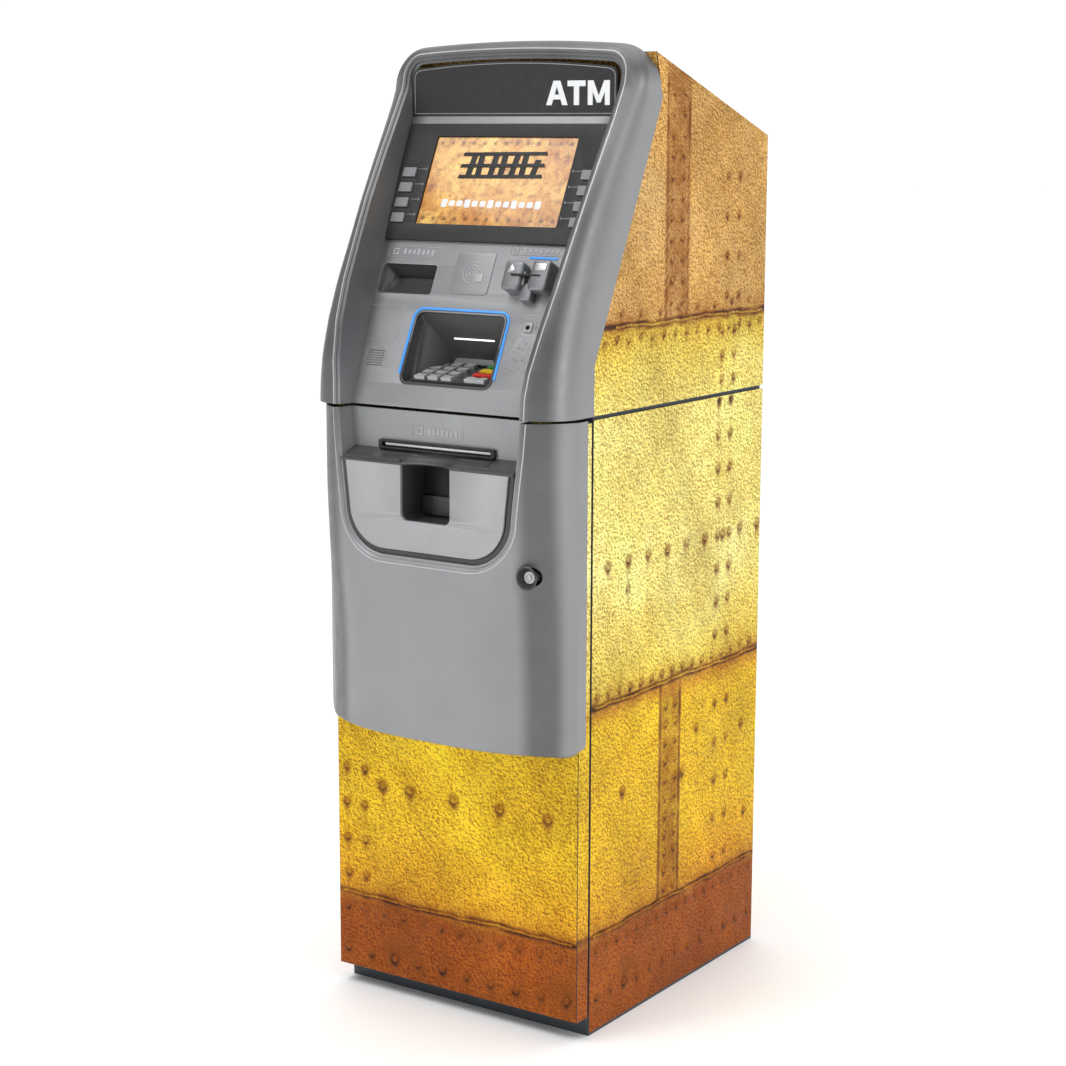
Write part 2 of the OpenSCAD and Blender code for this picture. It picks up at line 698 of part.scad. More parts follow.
// Outline of the well: lip, sloping floor, deep edge and back wall
function hood_wedge(g) = let (
    lip = hood_lip(),
    peak = console_z + (hood_s + hood_l / 2 - 4) * cos(console_lean),
    lip_y = console_y(lip) + 2,
    deep_y = lip_y + hood_depth + 10,
    deep_z = lip - 2 + (deep_y - lip_y) * tan(pad_tilt))
    [[lip_y - 60, lip - 6 - g], [lip_y, lip - 2 - g], [deep_y + g, deep_z - g],
     [deep_y - 3 + g, deep_z + 5], [console_y(peak) + 3 + 1.3 * g, peak + 2],
     [console_y(peak) - 60, peak + 30]];
module light_strips() {
    w = hood_w + 5;
    l = hood_l + 5;
    color("dodgerblue") placed() {
        on_console(0, hood_s) difference() {
            slab(w, l, 13, 0.1, 1.4);
            slab(hood_w + 0.6, hood_l + 0.6, 12, -1, 3);
            translate([-w, -l / 2 - 1, -1]) cube([2 * w, 22, 4]);
        }
        on_console(card_x + 14, card_s + 29) slab(46, 3, 1, 0.1, 1.4);
    }
}
pad_w = 118;
pad_l = 62;
module keypad_plate() {
    color("dimgray") placed() on_keypad() difference() {
        translate([-pad_w / 2, -7, -5]) cube([pad_w, pad_l, 4]);
        for (r = [1:4], c = [1:4]) translate([key_x(c), (r - 1) * row_pitch, -10]) {
            translate([-key_size(c) / 2 - fit, -key_l / 2 - fit, 0])
                cube([key_size(c) + 2 * fit, key_l + 2 * fit, 20]);
        }
    }
}
function key_x(c) = c < 4 ? -46 + (c - 1) * key_pitch : 38;
function key_size(c) = c < 4 ? key_w : wide_key_w;
module keypad_key(r, c) {
    shade = c < 4 ? "silver" : ["silver", "red", "gold", "green"][r - 1];
    color(shade) placed() on_keypad() translate([key_x(c), (r - 1) * row_pitch, 0])
        difference() {
            translate([-key_size(c) / 2, -key_l / 2, -3.4]) cube([key_size(c), key_l, 7]);
            translate([0, -key_l, 26.8]) rotate([-90, 0, 0]) cylinder(r = 24, h = 2 * key_l);
        }
}
module audio_jack() {
    color("black") placed() on_console(jack_x, jack_s) difference() {
        union() {
            translate([0, 0, -14]) cylinder(r = 6, h = 14.2);
            translate([0, 0, 0.1]) cylinder(r = 8, h = 1.4);
        }
        translate([0, 0, -12]) cylinder(r = jack_r, h = 20);
    }
}
module speaker() {
    color("gray") placed() on_console(speaker_x + 2, speaker_s) difference() {
        union() {
            translate([0, 0, -fascia_wall - 9]) cylinder(r = 16, h = 8);
            translate([0, 0, -fascia_wall - 18]) cylinder(r = 10, h = 10);
        }
        translate([0, 0, -fascia_wall - 3]) cylinder(r = 13, h = 4);
    }
}

// ---------------------------------------------------------- lower fascia
module lower_body(inset) {
    half = fascia_half - inset;
    z0 = lower_z + inset;
    z1 = lower_top + (inset > 0 ? eps : 0);
    r = 28 - inset;
    rear = panel_lap - panel_out + (inset > 0 ? eps : 0);
    intersection() {
        translate([0, 0, z0]) linear_extrude(z1 - z0) crown_section(inset, rear);
        translate([0, 100, 0]) rotate([90, 0, 0]) linear_extrude(400) {
            translate([-half + r, z0]) square([2 * half - 2 * r, z1 - z0]);
            translate([-half, z0 + r]) square([2 * half, z1 - z0 - r]);
            for (sx = [-1, 1]) translate([sx * (half - r), z0 + r]) circle(r);
        }
    }
}
shield_low = lower_top - 186;
shield_r = 70;
shield_taper = 16;
module shield(grow, top) {
    half = fascia_half - rim_w_low + grow;
    r = shield_r + grow;
    low = shield_low - grow;
    high = lower_top + 20;
    foot = half - shield_taper;
    translate([0, 300, 0]) rotate([90, 0, 0]) linear_extrude(600) intersection() {
        union() {
            polygon([[-half, high], [-foot, shield_low + shield_r], [-foot + r, shield_low + shield_r],
                [foot - r, shield_low + shield_r], [foot, shield_low + shield_r], [half, high]]);
            translate([-foot + r, low]) square([2 * foot - 2 * r, r + 1]);
            for (sx = [-1, 1]) translate([sx * (foot - r), low + r]) circle(r);
        }
        translate([-far, -far]) square([2 * far, far + top]);
    }
}
module lower_recess(grow) {
    intersection() {
        shield(grow, lower_top + 20);
        translate([-half_w, -far + grow - console_out, 0]) cube([cabinet_w, far, far]);
    }
}
lock_x = half_w - 40;
lock_z = lower_top - 187;
lock_out = 73;
boss_r = 5;
slot_half = note_slot_w / 2;
module lower_fascia() {
    color("darkgray") placed() difference() {
        union() {
            difference() {
                lower_body(0);
                lower_recess(0);
                difference() {
                    lower_body(fascia_wall);
                    lower_recess(fascia_wall);
                }
            }
            // bosses that stand on the front panel, and the one round the lock
            intersection() {
                lower_body(0);
                union() {
                    for (sx = [-1, 1], z = [lower_z + 30, lower_z + 210]) translate([sx * 120, -far, z])
                        rotate([-90, 0, 0]) cylinder(r = boss_r, h = far - panel_out);
                    translate([lock_x, -far, lock_z]) rotate([-90, 0, 0])
                        cylinder(r = 13, h = far - panel_out - 10);
                }
            }
        }
        // room for the front panel, which the moulding wraps round
        translate([-half_w - fit, -panel_out, 0]) cube([cabinet_w + 2 * fit, far, far]);
        // note slot, pocket well and lock bore
        translate([-slot_half - 1, -console_out - 10, slot_z - 5]) cube([note_slot_w + 2, 20, 10]);
        translate([-pocket_w / 2 - 6, -console_out - 10, shelf_z - 88]) cube([pocket_w + 12, 20, 84]);
        translate([lock_x, -90, lock_z]) rotate([-90, 0, 0]) cylinder(r = 8 + run_gap, h = 90);
        translate([lock_x, -lock_out - 60, lock_z]) rotate([-90, 0, 0]) cylinder(r = 10, h = 60);
    }
}
// Dark insert: slot frame, sloping shelf and the band round the pocket panel
shelf_side = 2;
module cash_shelf() {
    color("dimgray") placed() difference() {
        intersection() {
            shield(-1, shelf_z);
            sideways(half_w, [[-console_out - 0.1, shelf_low()], [-console_out - 0.1, slot_z - 5.5],
                [-shelf_out + 1, shelf_z], [-shelf_out + 6, shelf_low()]]);
        }
        shelf_panel(0.6);
        pocket_well(3.6);
        // finger notch in the front edge of the shelf
        translate([0, -shelf_out - 6, shelf_z - 30]) cylinder(r = pocket_w / 3, h = 60);
    }
    color("dimgray") placed() translate([0, -console_out - 0.1, slot_z]) rotate([90, 0, 0])
        linear_extrude(4) difference() {
            square([note_slot_w + 8, 13], center = true);
            square([note_slot_w - 6, 5], center = true);
        }
}
function shelf_low() = shield_low - 4;
module shelf_panel(grow) {
    intersection() {
        shield(-12 + grow, shelf_z + 40);
        sideways(half_w, [[-shelf_out - 10, shield_low - 40], [-shelf_out - 10, shelf_z - 1 + grow * 2],
            [-shelf_out + 13 + grow, shelf_z - 1 + grow * 2], [-shelf_out + 13 + grow, shield_low - 40]]);
    }
}
module pocket_well(grow) {
    w = pocket_w + 2 * grow;
    low = shelf_z - 78 - grow;
    translate([-w / 2, -shelf_out - 20, low]) cube([w, 60 + grow, shelf_z - 8 + grow - low]);
}
module cash_pocket() {
    color("silver") placed() difference() {
        union() {
            intersection() {
                shelf_panel(0);
                translate([-half_w, -shelf_out, 0]) cube([cabinet_w, 100, far]);
            }
            intersection() {
                pocket_well(3);
                translate([-half_w, -shelf_out + 1, 0]) cube([cabinet_w, 100, shelf_z - 6]);
            }
        }
        pocket_well(0);
    }
}
module lock_cylinder() {
    color("silver") placed() translate([lock_x, 0, lock_z]) rotate([90, 0, 0]) {
        difference() {
            translate([0, 0, 9]) cylinder(r = 8, h = lock_out - 9 + 2);
            translate([0, 0, lock_out - 2]) difference() {
                cylinder(r = 4, h = 6);
                translate([0, 0, -1]) cylinder(r = 2.6, h = 8);
            }
        }
        translate([-5, -26, 6]) cube([10, 32, 3.5]);
    }
}

safe_cabinet();
base_plinth();
seam_collar();
top_cabinet();
hinge_pins();
dispenser_frame();
pick_rollers();
presenter_rollers();
note_cassette();
control_computer();
power_supply();
cable_grommet();
upper_fascia();
sign_panel();
screen_bezel();
lcd_panel();
receipt_chute();
receipt_printer();
paper_roll();
contactless_reader();
card_reader_bezel();
card_reader();
keypad_hood();
light_strips();
keypad_plate();
audio_jack();
speaker();
lower_fascia();
cash_shelf();
cash_pocket();
front_panel();
lock_cylinder();
safe_door();
locking_bolts();
safe_handle();
combination_dial();
for (i = [1:4]) {
    function_key(-1, i);
    function_key(1, i);
}
for (r = [1:4], c = [1:4])
    keypad_key(r, c);
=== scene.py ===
"""Looks of the free-standing cash machine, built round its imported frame.

Lengths are in millimetres: x to the right, y back from the cabinet's front
plane, z up from the floor. put() turns them into the frame's metres.
"""

import math

import bmesh
import bpy
import numpy as np
from mathutils import Matrix, Vector


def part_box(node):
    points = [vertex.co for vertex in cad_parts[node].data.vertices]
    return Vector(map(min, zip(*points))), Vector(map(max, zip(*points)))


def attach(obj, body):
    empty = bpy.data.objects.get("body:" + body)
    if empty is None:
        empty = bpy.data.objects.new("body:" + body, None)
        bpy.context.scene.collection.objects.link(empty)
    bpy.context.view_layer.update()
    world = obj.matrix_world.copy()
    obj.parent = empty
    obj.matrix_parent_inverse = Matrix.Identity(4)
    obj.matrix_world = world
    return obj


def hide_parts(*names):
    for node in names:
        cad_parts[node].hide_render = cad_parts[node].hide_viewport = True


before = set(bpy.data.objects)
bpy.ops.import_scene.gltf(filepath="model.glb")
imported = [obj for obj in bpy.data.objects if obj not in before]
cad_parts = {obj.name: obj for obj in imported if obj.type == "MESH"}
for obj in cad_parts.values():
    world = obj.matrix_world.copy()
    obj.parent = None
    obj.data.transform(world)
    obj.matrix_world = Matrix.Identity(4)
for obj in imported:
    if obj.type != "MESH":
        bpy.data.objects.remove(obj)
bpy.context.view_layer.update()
MM = 0.001

# ------------------------------------------------------------ sizes from the frame
safe_low, safe_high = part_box("safe_cabinet")
panel_low, panel_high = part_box("front_panel")
fascia_low, fascia_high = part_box("lower_fascia")
head_low, head_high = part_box("top_cabinet")
DEPTH = 2 * safe_high.y / MM
HALF = safe_high.x / MM
SAFE_TOP = safe_high.z / MM
PANEL_Y = panel_low.y / MM + DEPTH / 2
PANEL_LOW, PANEL_HIGH = panel_low.z / MM, panel_high.z / MM
FASCIA_HALF = fascia_high.x / MM
LOWER_BOTTOM, LOWER_TOP = fascia_low.z / MM, fascia_high.z / MM
UPPER_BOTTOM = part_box("upper_fascia")[0].z / MM
UPPER_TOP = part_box("upper_fascia")[1].z / MM
HEAD_Z = head_low.z / MM
HEAD_TOP = head_high.z / MM

LEAN = math.radians(25.5)
CONSOLE_LEAN = math.radians(25)
CONSOLE_OUT = 60
CONSOLE_Z = UPPER_BOTTOM + 2
BEND_Z = HEAD_Z + 59
CORNER_Z = HEAD_TOP - 58
ROOF_SLOPE = math.radians(19.2)
SIGN_LOW, SIGN_TOP = CONSOLE_Z + 357, CONSOLE_Z + 416
ARCH_TOP = SIGN_TOP + 5
CROWN_OUT = 91
CROWN_DROP = 57
CROWN_POWER, FOOT_POWER = 7, 3.1
BOW_LOW, BOW_HIGH = 470, 720

CONSOLE = Matrix((
    (1, 0, 0, 0),
    (0, math.sin(CONSOLE_LEAN), -math.cos(CONSOLE_LEAN), (-CONSOLE_OUT - DEPTH / 2) * MM),
    (0, math.cos(CONSOLE_LEAN), math.sin(CONSOLE_LEAN), CONSOLE_Z * MM),
    (0, 0, 0, 1)))


def upright(y, z=0.0):
    """Local frame of a plate that faces the user: x, up, out."""
    return Matrix(((1, 0, 0, 0), (0, 0, -1, (y - DEPTH / 2) * MM), (0, 1, 0, z * MM), (0, 0, 0, 1)))


def lean_y(z):
    return max(0.0, (z - BEND_Z) * math.tan(LEAN))


ROOF_Y = lean_y(CORNER_Z) - 14


def console_y(z):
    return -CONSOLE_OUT + max(0.0, z - CONSOLE_Z) * math.tan(CONSOLE_LEAN)


def put(points):
    """Points in millimetres, y from the cabinet's front, as the frame's metres."""
    p = np.asarray(points, float).copy()
    p[:, 1] -= DEPTH / 2
    return p * MM


# ------------------------------------------------------------ materials
def linear(r, g, b):
    """An 8-bit screen colour as linear light."""
    return tuple(((c / 255 + 0.055) / 1.055) ** 2.4 if c > 10 else c / 255 / 12.92 for c in (r, g, b)) + (1,)


class Nodes:
    """Short hand for building one material's node tree."""

    def __init__(self, name):
        self.mat = bpy.data.materials.new(name)
        self.mat.use_nodes = True
        self.tree = self.mat.node_tree
        self.bsdf = self.tree.nodes["Principled BSDF"]
        self.where = self.add("ShaderNodeTexCoord").outputs["Object"]

    def add(self, kind, inputs=None, **settings):
        node = self.tree.nodes.new(kind)
        for key, value in settings.items():
            setattr(node, key, value)
        for key, value in (inputs or {}).items():
            self.feed(node.inputs[key], value)
        return node

    def feed(self, socket, value):
        if isinstance(value, bpy.types.NodeSocket):
            self.tree.links.new(value, socket)
        else:
            socket.default_value = value

    def set(self, **values):
        for key, value in values.items():
            self.feed(self.bsdf.inputs[key.replace("_", " ")], value)
        return self

    def noise(self, scale, detail=4, rough=0.55, where=None):
        return self.add("ShaderNodeTexNoise", {"Vector": where or self.where, "Scale": scale,
                                               "Detail": detail, "Roughness": rough}).outputs["Fac"]

    def spread(self, value, low, high, out_low=0.0, out_high=1.0):
        return self.add("ShaderNodeMapRange", {"Value": value, "From Min": low, "From Max": high,
                                               "To Min": out_low, "To Max": out_high}).outputs[0]

    def soft_step(self, value, low, high):
        """0 below low and 1 above high, with soft ends; falls instead when high is below low."""
        turned = high < low
        ends = (1.0, 0.0) if turned else (0.0, 1.0)
        return self.add("ShaderNodeMapRange", {"Value": value, "From Min": min(low, high), "From Max": max(low, high),
                                               "To Min": ends[0], "To Max": ends[1]},
                        interpolation_type="SMOOTHSTEP").outputs[0]

    def mix(self, share, a, b, blend="MIX"):
        node = self.add("ShaderNodeMix", data_type="RGBA", blend_type=blend)
        self.feed(node.inputs[0], share)
        self.feed(node.inputs[6], a)
        self.feed(node.inputs[7], b)
        return node.outputs[2]

    def maths(self, operation, a, b=0.0):
        return self.add("ShaderNodeMath", {0: a, 1: b}, operation=operation).outputs[0]

    def bump(self, height, distance, strength=0.5, after=None):
        inputs = {"Height": height, "Distance": distance, "Strength": strength}
        if after is not None:
            inputs["Normal"] = after
        return self.add("ShaderNodeBump", inputs).outputs[0]

    def stretched(self, x, y, z):
        return self.add("ShaderNodeMapping", {"Vector": self.where, "Scale": (x, y, z)}).outputs[0]


def shade(colour, gain):
    return tuple(min(1.0, c * gain) for c in colour[:3]) + (1,)


def painted(name, colour, metal=0.0, rough=0.42, grain=0.00006, flake=0.08, rim_painted_shade=None):
    """Sprayed paint: fine orange peel, a slight metal flake. When given, the rim tone paints shade onto the rims and
    the hood top: their colour is darkened by that factor.
    """
    n = Nodes(name)
    cloud = n.noise(9, 3)
    fleck = n.noise(2600, 1)
    if rim_painted_shade:
        place = n.add("ShaderNodeSeparateXYZ", {0: n.where}).outputs
        side = n.maths("ABSOLUTE", place[0])
        # Painted shade: the rims either side of the recess and the upward-facing hood band are darkened in the colour
        # itself, standing for the shade they fall into.
        rim = n.maths("MULTIPLY", n.soft_step(side, 0.128, 0.15), n.soft_step(side, 0.186, 0.170))
        hood = n.soft_step(place[2], 1.188, 1.216)
        colour = n.mix(n.maths("MAXIMUM", rim, hood), colour, shade(colour, rim_painted_shade))
        tone = n.mix(n.spread(cloud, 0.3, 0.7, 0, flake), colour, (0.6, 0.6, 0.61, 1))
        n.set(Base_Color=tone)
    else:
        tone = n.mix(n.spread(cloud, 0.3, 0.7), shade(colour, 1 - flake), shade(colour, 1 + flake))
        n.set(Base_Color=n.mix(n.spread(fleck, 0.35, 0.75, 0, 0.35), tone, shade(colour, 1.25)))
    n.set(Metallic=metal, Roughness=n.spread(n.noise(60, 5), 0.3, 0.7, rough - 0.05, rough + 0.07))
    n.set(Normal=n.bump(n.noise(1500, 2), grain, 0.4))
    return n.mat


def brushed(name, colour, rough=0.3, along=(900, 25, 900)):
    n = Nodes(name)
    streak = n.noise(1, 5, 0.7, n.stretched(*along))
    n.set(Base_Color=n.mix(n.spread(streak, 0.3, 0.7), shade(colour, 0.86), shade(colour, 1.12)))
    n.set(Metallic=0.95, Roughness=n.spread(streak, 0.2, 0.8, rough - 0.08, rough + 0.1))
    n.set(Normal=n.bump(streak, 0.00004, 0.4))
    return n.mat


def moulded(name, colour, rough=0.5, grain=0.00012, gloss=0.0):
    """Moulded plastic: spark-eroded grain, a little dust in the tone."""
    n = Nodes(name)
    n.set(Base_Color=n.mix(n.spread(n.noise(14, 4), 0.35, 0.7), shade(colour, 0.9), shade(colour, 1.12)))
    n.set(Roughness=n.spread(n.noise(90, 4), 0.3, 0.7, rough - 0.05, rough + 0.06))
    n.set(Coat_Weight=gloss, Coat_Roughness=0.12)
    n.set(Normal=n.bump(n.noise(1900, 2), grain, 0.35))
    return n.mat


def lit(name, colour, strength):
    n = Nodes(name)
    glow = n.mix(n.spread(n.noise(120, 2), 0.3, 0.7), shade(colour, 0.92), colour)
    n.set(Base_Color=n.mix(1, glow, (0.25, 0.25, 0.25, 1), "MULTIPLY"), Emission_Color=glow, Emission_Strength=strength, Roughness=0.35)
    return n.mat


def rusty_wrap(name):
    """Printed vinyl: weathered yellow and tan steel, with painted highlight and shade on its grain. Tint and stain are
    painted on the mesh.
    """
    n = Nodes(name)
    tint = n.add("ShaderNodeAttribute", attribute_name="tint").outputs["Color"]
    stain = n.add("ShaderNodeAttribute", attribute_name="stain").outputs["Fac"]
    cloud = n.noise(5.5, 6, 0.62)
    patch = n.noise(30, 8, 0.72)
    streak = n.noise(1, 6, 0.7, n.stretched(70, 70, 8))
    grain = n.noise(240, 5, 0.72)
    shifted = n.add("ShaderNodeMapping", {"Vector": n.where, "Location": (0.0007, 0.0007, 0.0011)}).outputs[0]
    # Painted light and shade: the grain minus a copy shifted by under a millimetre lights one side of every grain bump
    # and darkens the other, as a lamp from one side would.
    grain_light_and_shade = n.maths("SUBTRACT", grain, n.noise(240, 5, 0.72, shifted))
    browned = n.mix(1, tint, (0.70, 0.50, 0.24, 1), "MULTIPLY")
    burnt_rust_and_shade = n.mix(1, tint, (0.34, 0.18, 0.06, 1), "MULTIPLY")
    base = n.mix(n.spread(cloud, 0.34, 0.6), n.mix(1, tint, (0.86, 0.72, 0.44, 1), "MULTIPLY"), tint)
    base = n.mix(n.spread(cloud, 0.52, 0.68, 0, 0.55), base, n.mix(1, tint, (1.3, 1.45, 2.2, 1), "MULTIPLY"))
    base = n.mix(n.spread(streak, 0.5, 0.72, 0, 0.45), base, browned)
    base = n.mix(n.spread(patch, 0.52, 0.7, 0, 0.6), base, browned)
    base = n.mix(n.spread(grain, 0.57, 0.7, 0, 0.75), base, burnt_rust_and_shade)
    base = n.mix(n.spread(n.noise(95, 5, 0.7), 0.55, 0.7, 0, 0.55), base, burnt_rust_and_shade)
    # Painted highlight on the lit side of the grain, then painted shade in the burnt brown on the other side.
    base = n.mix(n.spread(grain_light_and_shade, 0.01, 0.09, 0, 0.8), base, n.mix(1, tint, (1.35, 1.4, 1.6, 1), "MULTIPLY"))
    base = n.mix(n.spread(grain_light_and_shade, -0.01, -0.09, 0, 0.85), base, burnt_rust_and_shade)
    wet = n.maths("MULTIPLY", stain, n.spread(patch, 0.34, 0.62, 0.5, 1.3))
    base = n.mix(n.spread(wet, 0.04, 0.5, 0, 0.85), base, linear(138, 72, 14))
    base = n.mix(n.spread(wet, 0.42, 0.95, 0, 0.9), base, linear(48, 20, 6))
    n.set(Base_Color=base, Roughness=n.spread(patch, 0.3, 0.7, 0.5, 0.7))
    n.bsdf.inputs["Specular IOR Level"].default_value = 0.22
    n.set(Normal=n.bump(grain, 0.0010, 0.75, n.bump(patch, 0.0016, 0.5)))
    return n.mat


SILVER = linear(142, 143, 145)
MATS = {
    "cabinet_wrap": rusty_wrap("wrap"),
    "dark_steel": painted("slate_steel", linear(62, 68, 74), 0.1, 0.5),
    "bright_steel": brushed("bright_steel", linear(200, 200, 202)),
    "zinc_steel": brushed("zinc_steel", linear(165, 168, 172), 0.42),
    "rubber": moulded("rubber", linear(28, 28, 28), 0.7),
    "cassette_plastic": moulded("cassette_plastic", linear(60, 72, 96), 0.5),
    # The fascia paint carries painted shade: its rims and hood top are darkened to 0.42 of the silver.
    "fascia_plastic": painted("fascia_paint_with_rim_shade", SILVER, 0.35, 0.4, rim_painted_shade=0.42),
    "gloss_black": moulded("gloss_black", linear(30, 30, 32), 0.55, 0.00003, 0.0),
    "dark_plastic": moulded("dark_plastic", linear(58, 59, 61), 0.42, 0.0001, 0.1),
    "paper": moulded("paper", linear(240, 240, 236), 0.8),
    "light_plastic": painted("light_paint", linear(160, 161, 163), 0.35, 0.4),
    "module_silver": painted("module_silver", linear(124, 125, 127), 0.5, 0.34),
    "chrome": brushed("chrome", linear(225, 225, 226), 0.14, (300, 300, 300)),
    "key_metal": painted("key_metal", linear(172, 173, 175), 0.3, 0.35),
    "key_red": moulded("key_red", linear(205, 48, 32), 0.35, 0.00004, 0.4),
    "key_yellow": moulded("key_yellow", linear(236, 196, 40), 0.35, 0.00004, 0.4),
    "key_green": moulded("key_green", linear(46, 150, 62), 0.35, 0.00004, 0.4),
    "display": lit("screen_glow", linear(214, 168, 92), 1.0),
    "blue_light": lit("blue_glow", linear(64, 152, 240), 0.95),
}
# Near-black for the speaker's back, the receipt slit, the card slot, the note slot, the groove round the cash panel and
# the back of the cash pocket: painted shade, a dark sheet put where the inside of an opening lies in shade.
SHADE_BLACK = moulded("black_painted_shade", linear(10, 10, 11), 0.6)
# Pale paint. On the rim and shield beads it is a painted highlight: the thin raised beads are painted lighter than the
# fascia to stand for the bright lines their crests catch.
PALE_PAINT_AND_HIGHLIGHT = painted("pale_paint_and_bead_highlight", linear(188, 189, 191), 0.3, 0.35)
KEY_GREY = painted("key_grey", linear(122, 123, 125), 0.2, 0.4)
DARK_PLATE = painted("dark_plate", linear(112, 113, 115), 0.2, 0.42)
WHITE_GLOW = lit("white_glow", (1, 1, 1, 1), 2.2)
WHITE_PRINT = lit("white_print", linear(236, 238, 240), 0.8)


# ------------------------------------------------------------ mesh helpers
def finish_piece(ob, body, slot=None, mat=None, instead=(), smooth=35):
    """Gives a piece its finish and body. Slot names the record's material slot."""
    ob.data.materials.clear()
    ob.data.materials.append(mat or MATS[slot])
    if smooth:
        ob.data.shade_smooth()
        ob.data.set_sharp_from_angle(angle=math.radians(smooth))
    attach(ob, body)
    if instead:
        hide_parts(*instead)
    return ob


def new_object(name, data):
    ob = bpy.data.objects.new(name, data)
    bpy.context.scene.collection.objects.link(ob)
    return ob


def mesh_object(name, points, faces):
    me = bpy.data.meshes.new(name)
    me.from_pydata([tuple(p) for p in points], [], faces)
    bm = bmesh.new()
    bm.from_mesh(me)
    bmesh.ops.remove_doubles(bm, verts=bm.verts, dist=1e-6)
    bmesh.ops.recalc_face_normals(bm, faces=bm.faces)
    bm.to_mesh(me)
    bm.free()
    return new_object(name, me)


def quads(rows, columns, closed=False):
    """Faces of a rows x columns grid; closed joins the last column to the first."""
    last = columns if closed else columns - 1
    return [(r * columns + c, r * columns + (c + 1) % columns,
             (r + 1) * columns + (c + 1) % columns, (r + 1) * columns + c)
            for r in range(rows - 1) for c in range(last)]


def thicken(ob, wall, offset=-1.0):
    mod = ob.modifiers.new("wall", "SOLIDIFY")
    mod.thickness, mod.offset = wall * MM, offset
    mod.use_even_offset = False


def soften(ob, width, angle=30, segments=2):
    mod = ob.modifiers.new("edges", "BEVEL")
    mod.width, mod.segments, mod.limit_method = width * MM, segments, "ANGLE"
    mod.angle_limit = math.radians(angle)
    mod.harden_normals = True


def settle(ob):
    """Replaces an object's mesh with the result of its modifiers."""
    result = bpy.data.meshes.new_from_object(ob.evaluated_get(bpy.context.evaluated_depsgraph_get()))
    ob.modifiers.clear()
    ob.data = result


def cut(ob, cutter):
    """Cuts one solid from another and removes the cutter."""
    mod = ob.modifiers.new("cut", "BOOLEAN")
    mod.object, mod.operation, mod.solver = cutter, "DIFFERENCE", "EXACT"
    settle(ob)
    bpy.data.objects.remove(cutter)


def area(loop):
    return sum(a[0] * b[1] - b[0] * a[1] for a, b in zip(loop, loop[1:] + loop[:1]))


def extruded(name, loops, low, high, place, bevel=0.4):
    """Flat shape with holes (the loops after the first), drawn from low to high above a plane."""
    curve = bpy.data.curves.new(name, "CURVE")
    curve.dimensions, curve.fill_mode = "2D", "BOTH"
    for i, loop in enumerate(loops):
        turned = list(loop) if (area(list(loop)) < 0) == (i == 0) else list(loop)[::-1]
        spline = curve.splines.new("POLY")
        spline.points.add(len(turned) - 1)
        for point, (x, y) in zip(spline.points, turned):
            point.co = (x * MM, y * MM, 0, 1)
        spline.use_cyclic_u = True
    bevel = min(bevel, 0.45 * (high - low))
    curve.extrude = ((high - low) / 2 - bevel) * MM
    curve.bevel_depth, curve.bevel_resolution, curve.offset = bevel * MM, 2, -bevel * MM
    drawn = new_object(name + "_line", curve)
    bpy.context.view_layer.update()
    me = bpy.data.meshes.new_from_object(drawn.evaluated_get(bpy.context.evaluated_depsgraph_get()))
    bpy.data.objects.remove(drawn)
    bm = bmesh.new()
    bm.from_mesh(me)
    bmesh.ops.remove_doubles(bm, verts=bm.verts, dist=2e-6)
    bmesh.ops.recalc_face_normals(bm, faces=bm.faces)
    bm.to_mesh(me)
    bm.free()
    me.transform(place @ Matrix.Translation((0, 0, (low + high) / 2 * MM)))
    return new_object(name, me)


def arc(cx, cy, r, start, end, steps=7):
    return [(cx + r * math.cos(math.radians(start + (end - start) * i / (steps - 1))),
             cy + r * math.sin(math.radians(start + (end - start) * i / (steps - 1)))) for i in range(steps)]


def rounded(cx, cy, w, h, r):
    x, y = w / 2 - r, h / 2 - r
    return (arc(cx + x, cy + y, r, 0, 90) + arc(cx - x, cy + y, r, 90, 180)
            + arc(cx - x, cy - y, r, 180, 270) + arc(cx + x, cy - y, r, 270, 360))


def disc(cx, cy, r, steps=24):
    return arc(cx, cy, r, 0, 360 * (steps - 1) / steps, steps)


def joined(name, parts):
    """Several mesh objects as one."""
    bm = bmesh.new()
    for part in parts:
        bm.from_mesh(part.data)
        bpy.data.objects.remove(part)
    me = bpy.data.meshes.new(name)
    bm.to_mesh(me)
    bm.free()
    return new_object(name, me)


def swept(name, rings):
    """Surface through rings that all have the same number of points."""
    points = np.concatenate([np.asarray(r, float) for r in rings])
    return mesh_object(name, put(points), quads(len(rings), len(rings[0])))


# ------------------------------------------------------------ upper fascia
CREST_X = ([795, 820, 850, 900, 950, 1000, 1050, 1100, 1150, 1240], [143, 143.5, 147.4, 155, 160.5, 163, 165.5, 167, 168, 168])
CREST_Y = ([795, 820, 850, 900, 950, 1000, 1050, 1100, 1150, 1190, 1226],
           [-84, -83, -78.8, -62.5, -39.4, -13.7, 12.9, 42.2, 72.9, 96, 104])
BAND_Y = ([795, 818, 865, 935, 1005, 1077, 1113, 1173, 1238], [-35, -33.7, -24, 5.4, 45.2, 75.9, 92, 117, 124])
FLANK_STEPS = 14
SIDE_STEPS, CORNER_STEPS, TOP_STEPS = 46, 12, 16


def rear_y(z):
    back = lean_y(min(z, CORNER_Z)) - 3
    return back - max(0, z - CORNER_Z) * 14 / 58 if z > CORNER_Z else back


def recess_x(z):
    return float(np.interp(z, [795, 820, 1120], [135, 137, 157.5]))


HOOD_BOW = 9


def bowed(x, z, top, r):
    """Height of a point of the arch: the top line rises towards the middle."""
    share = min(1.0, max(0.0, (z - top + r) / r))
    return z + HOOD_BOW * share * (1 - (x / FASCIA_HALF) ** 2)


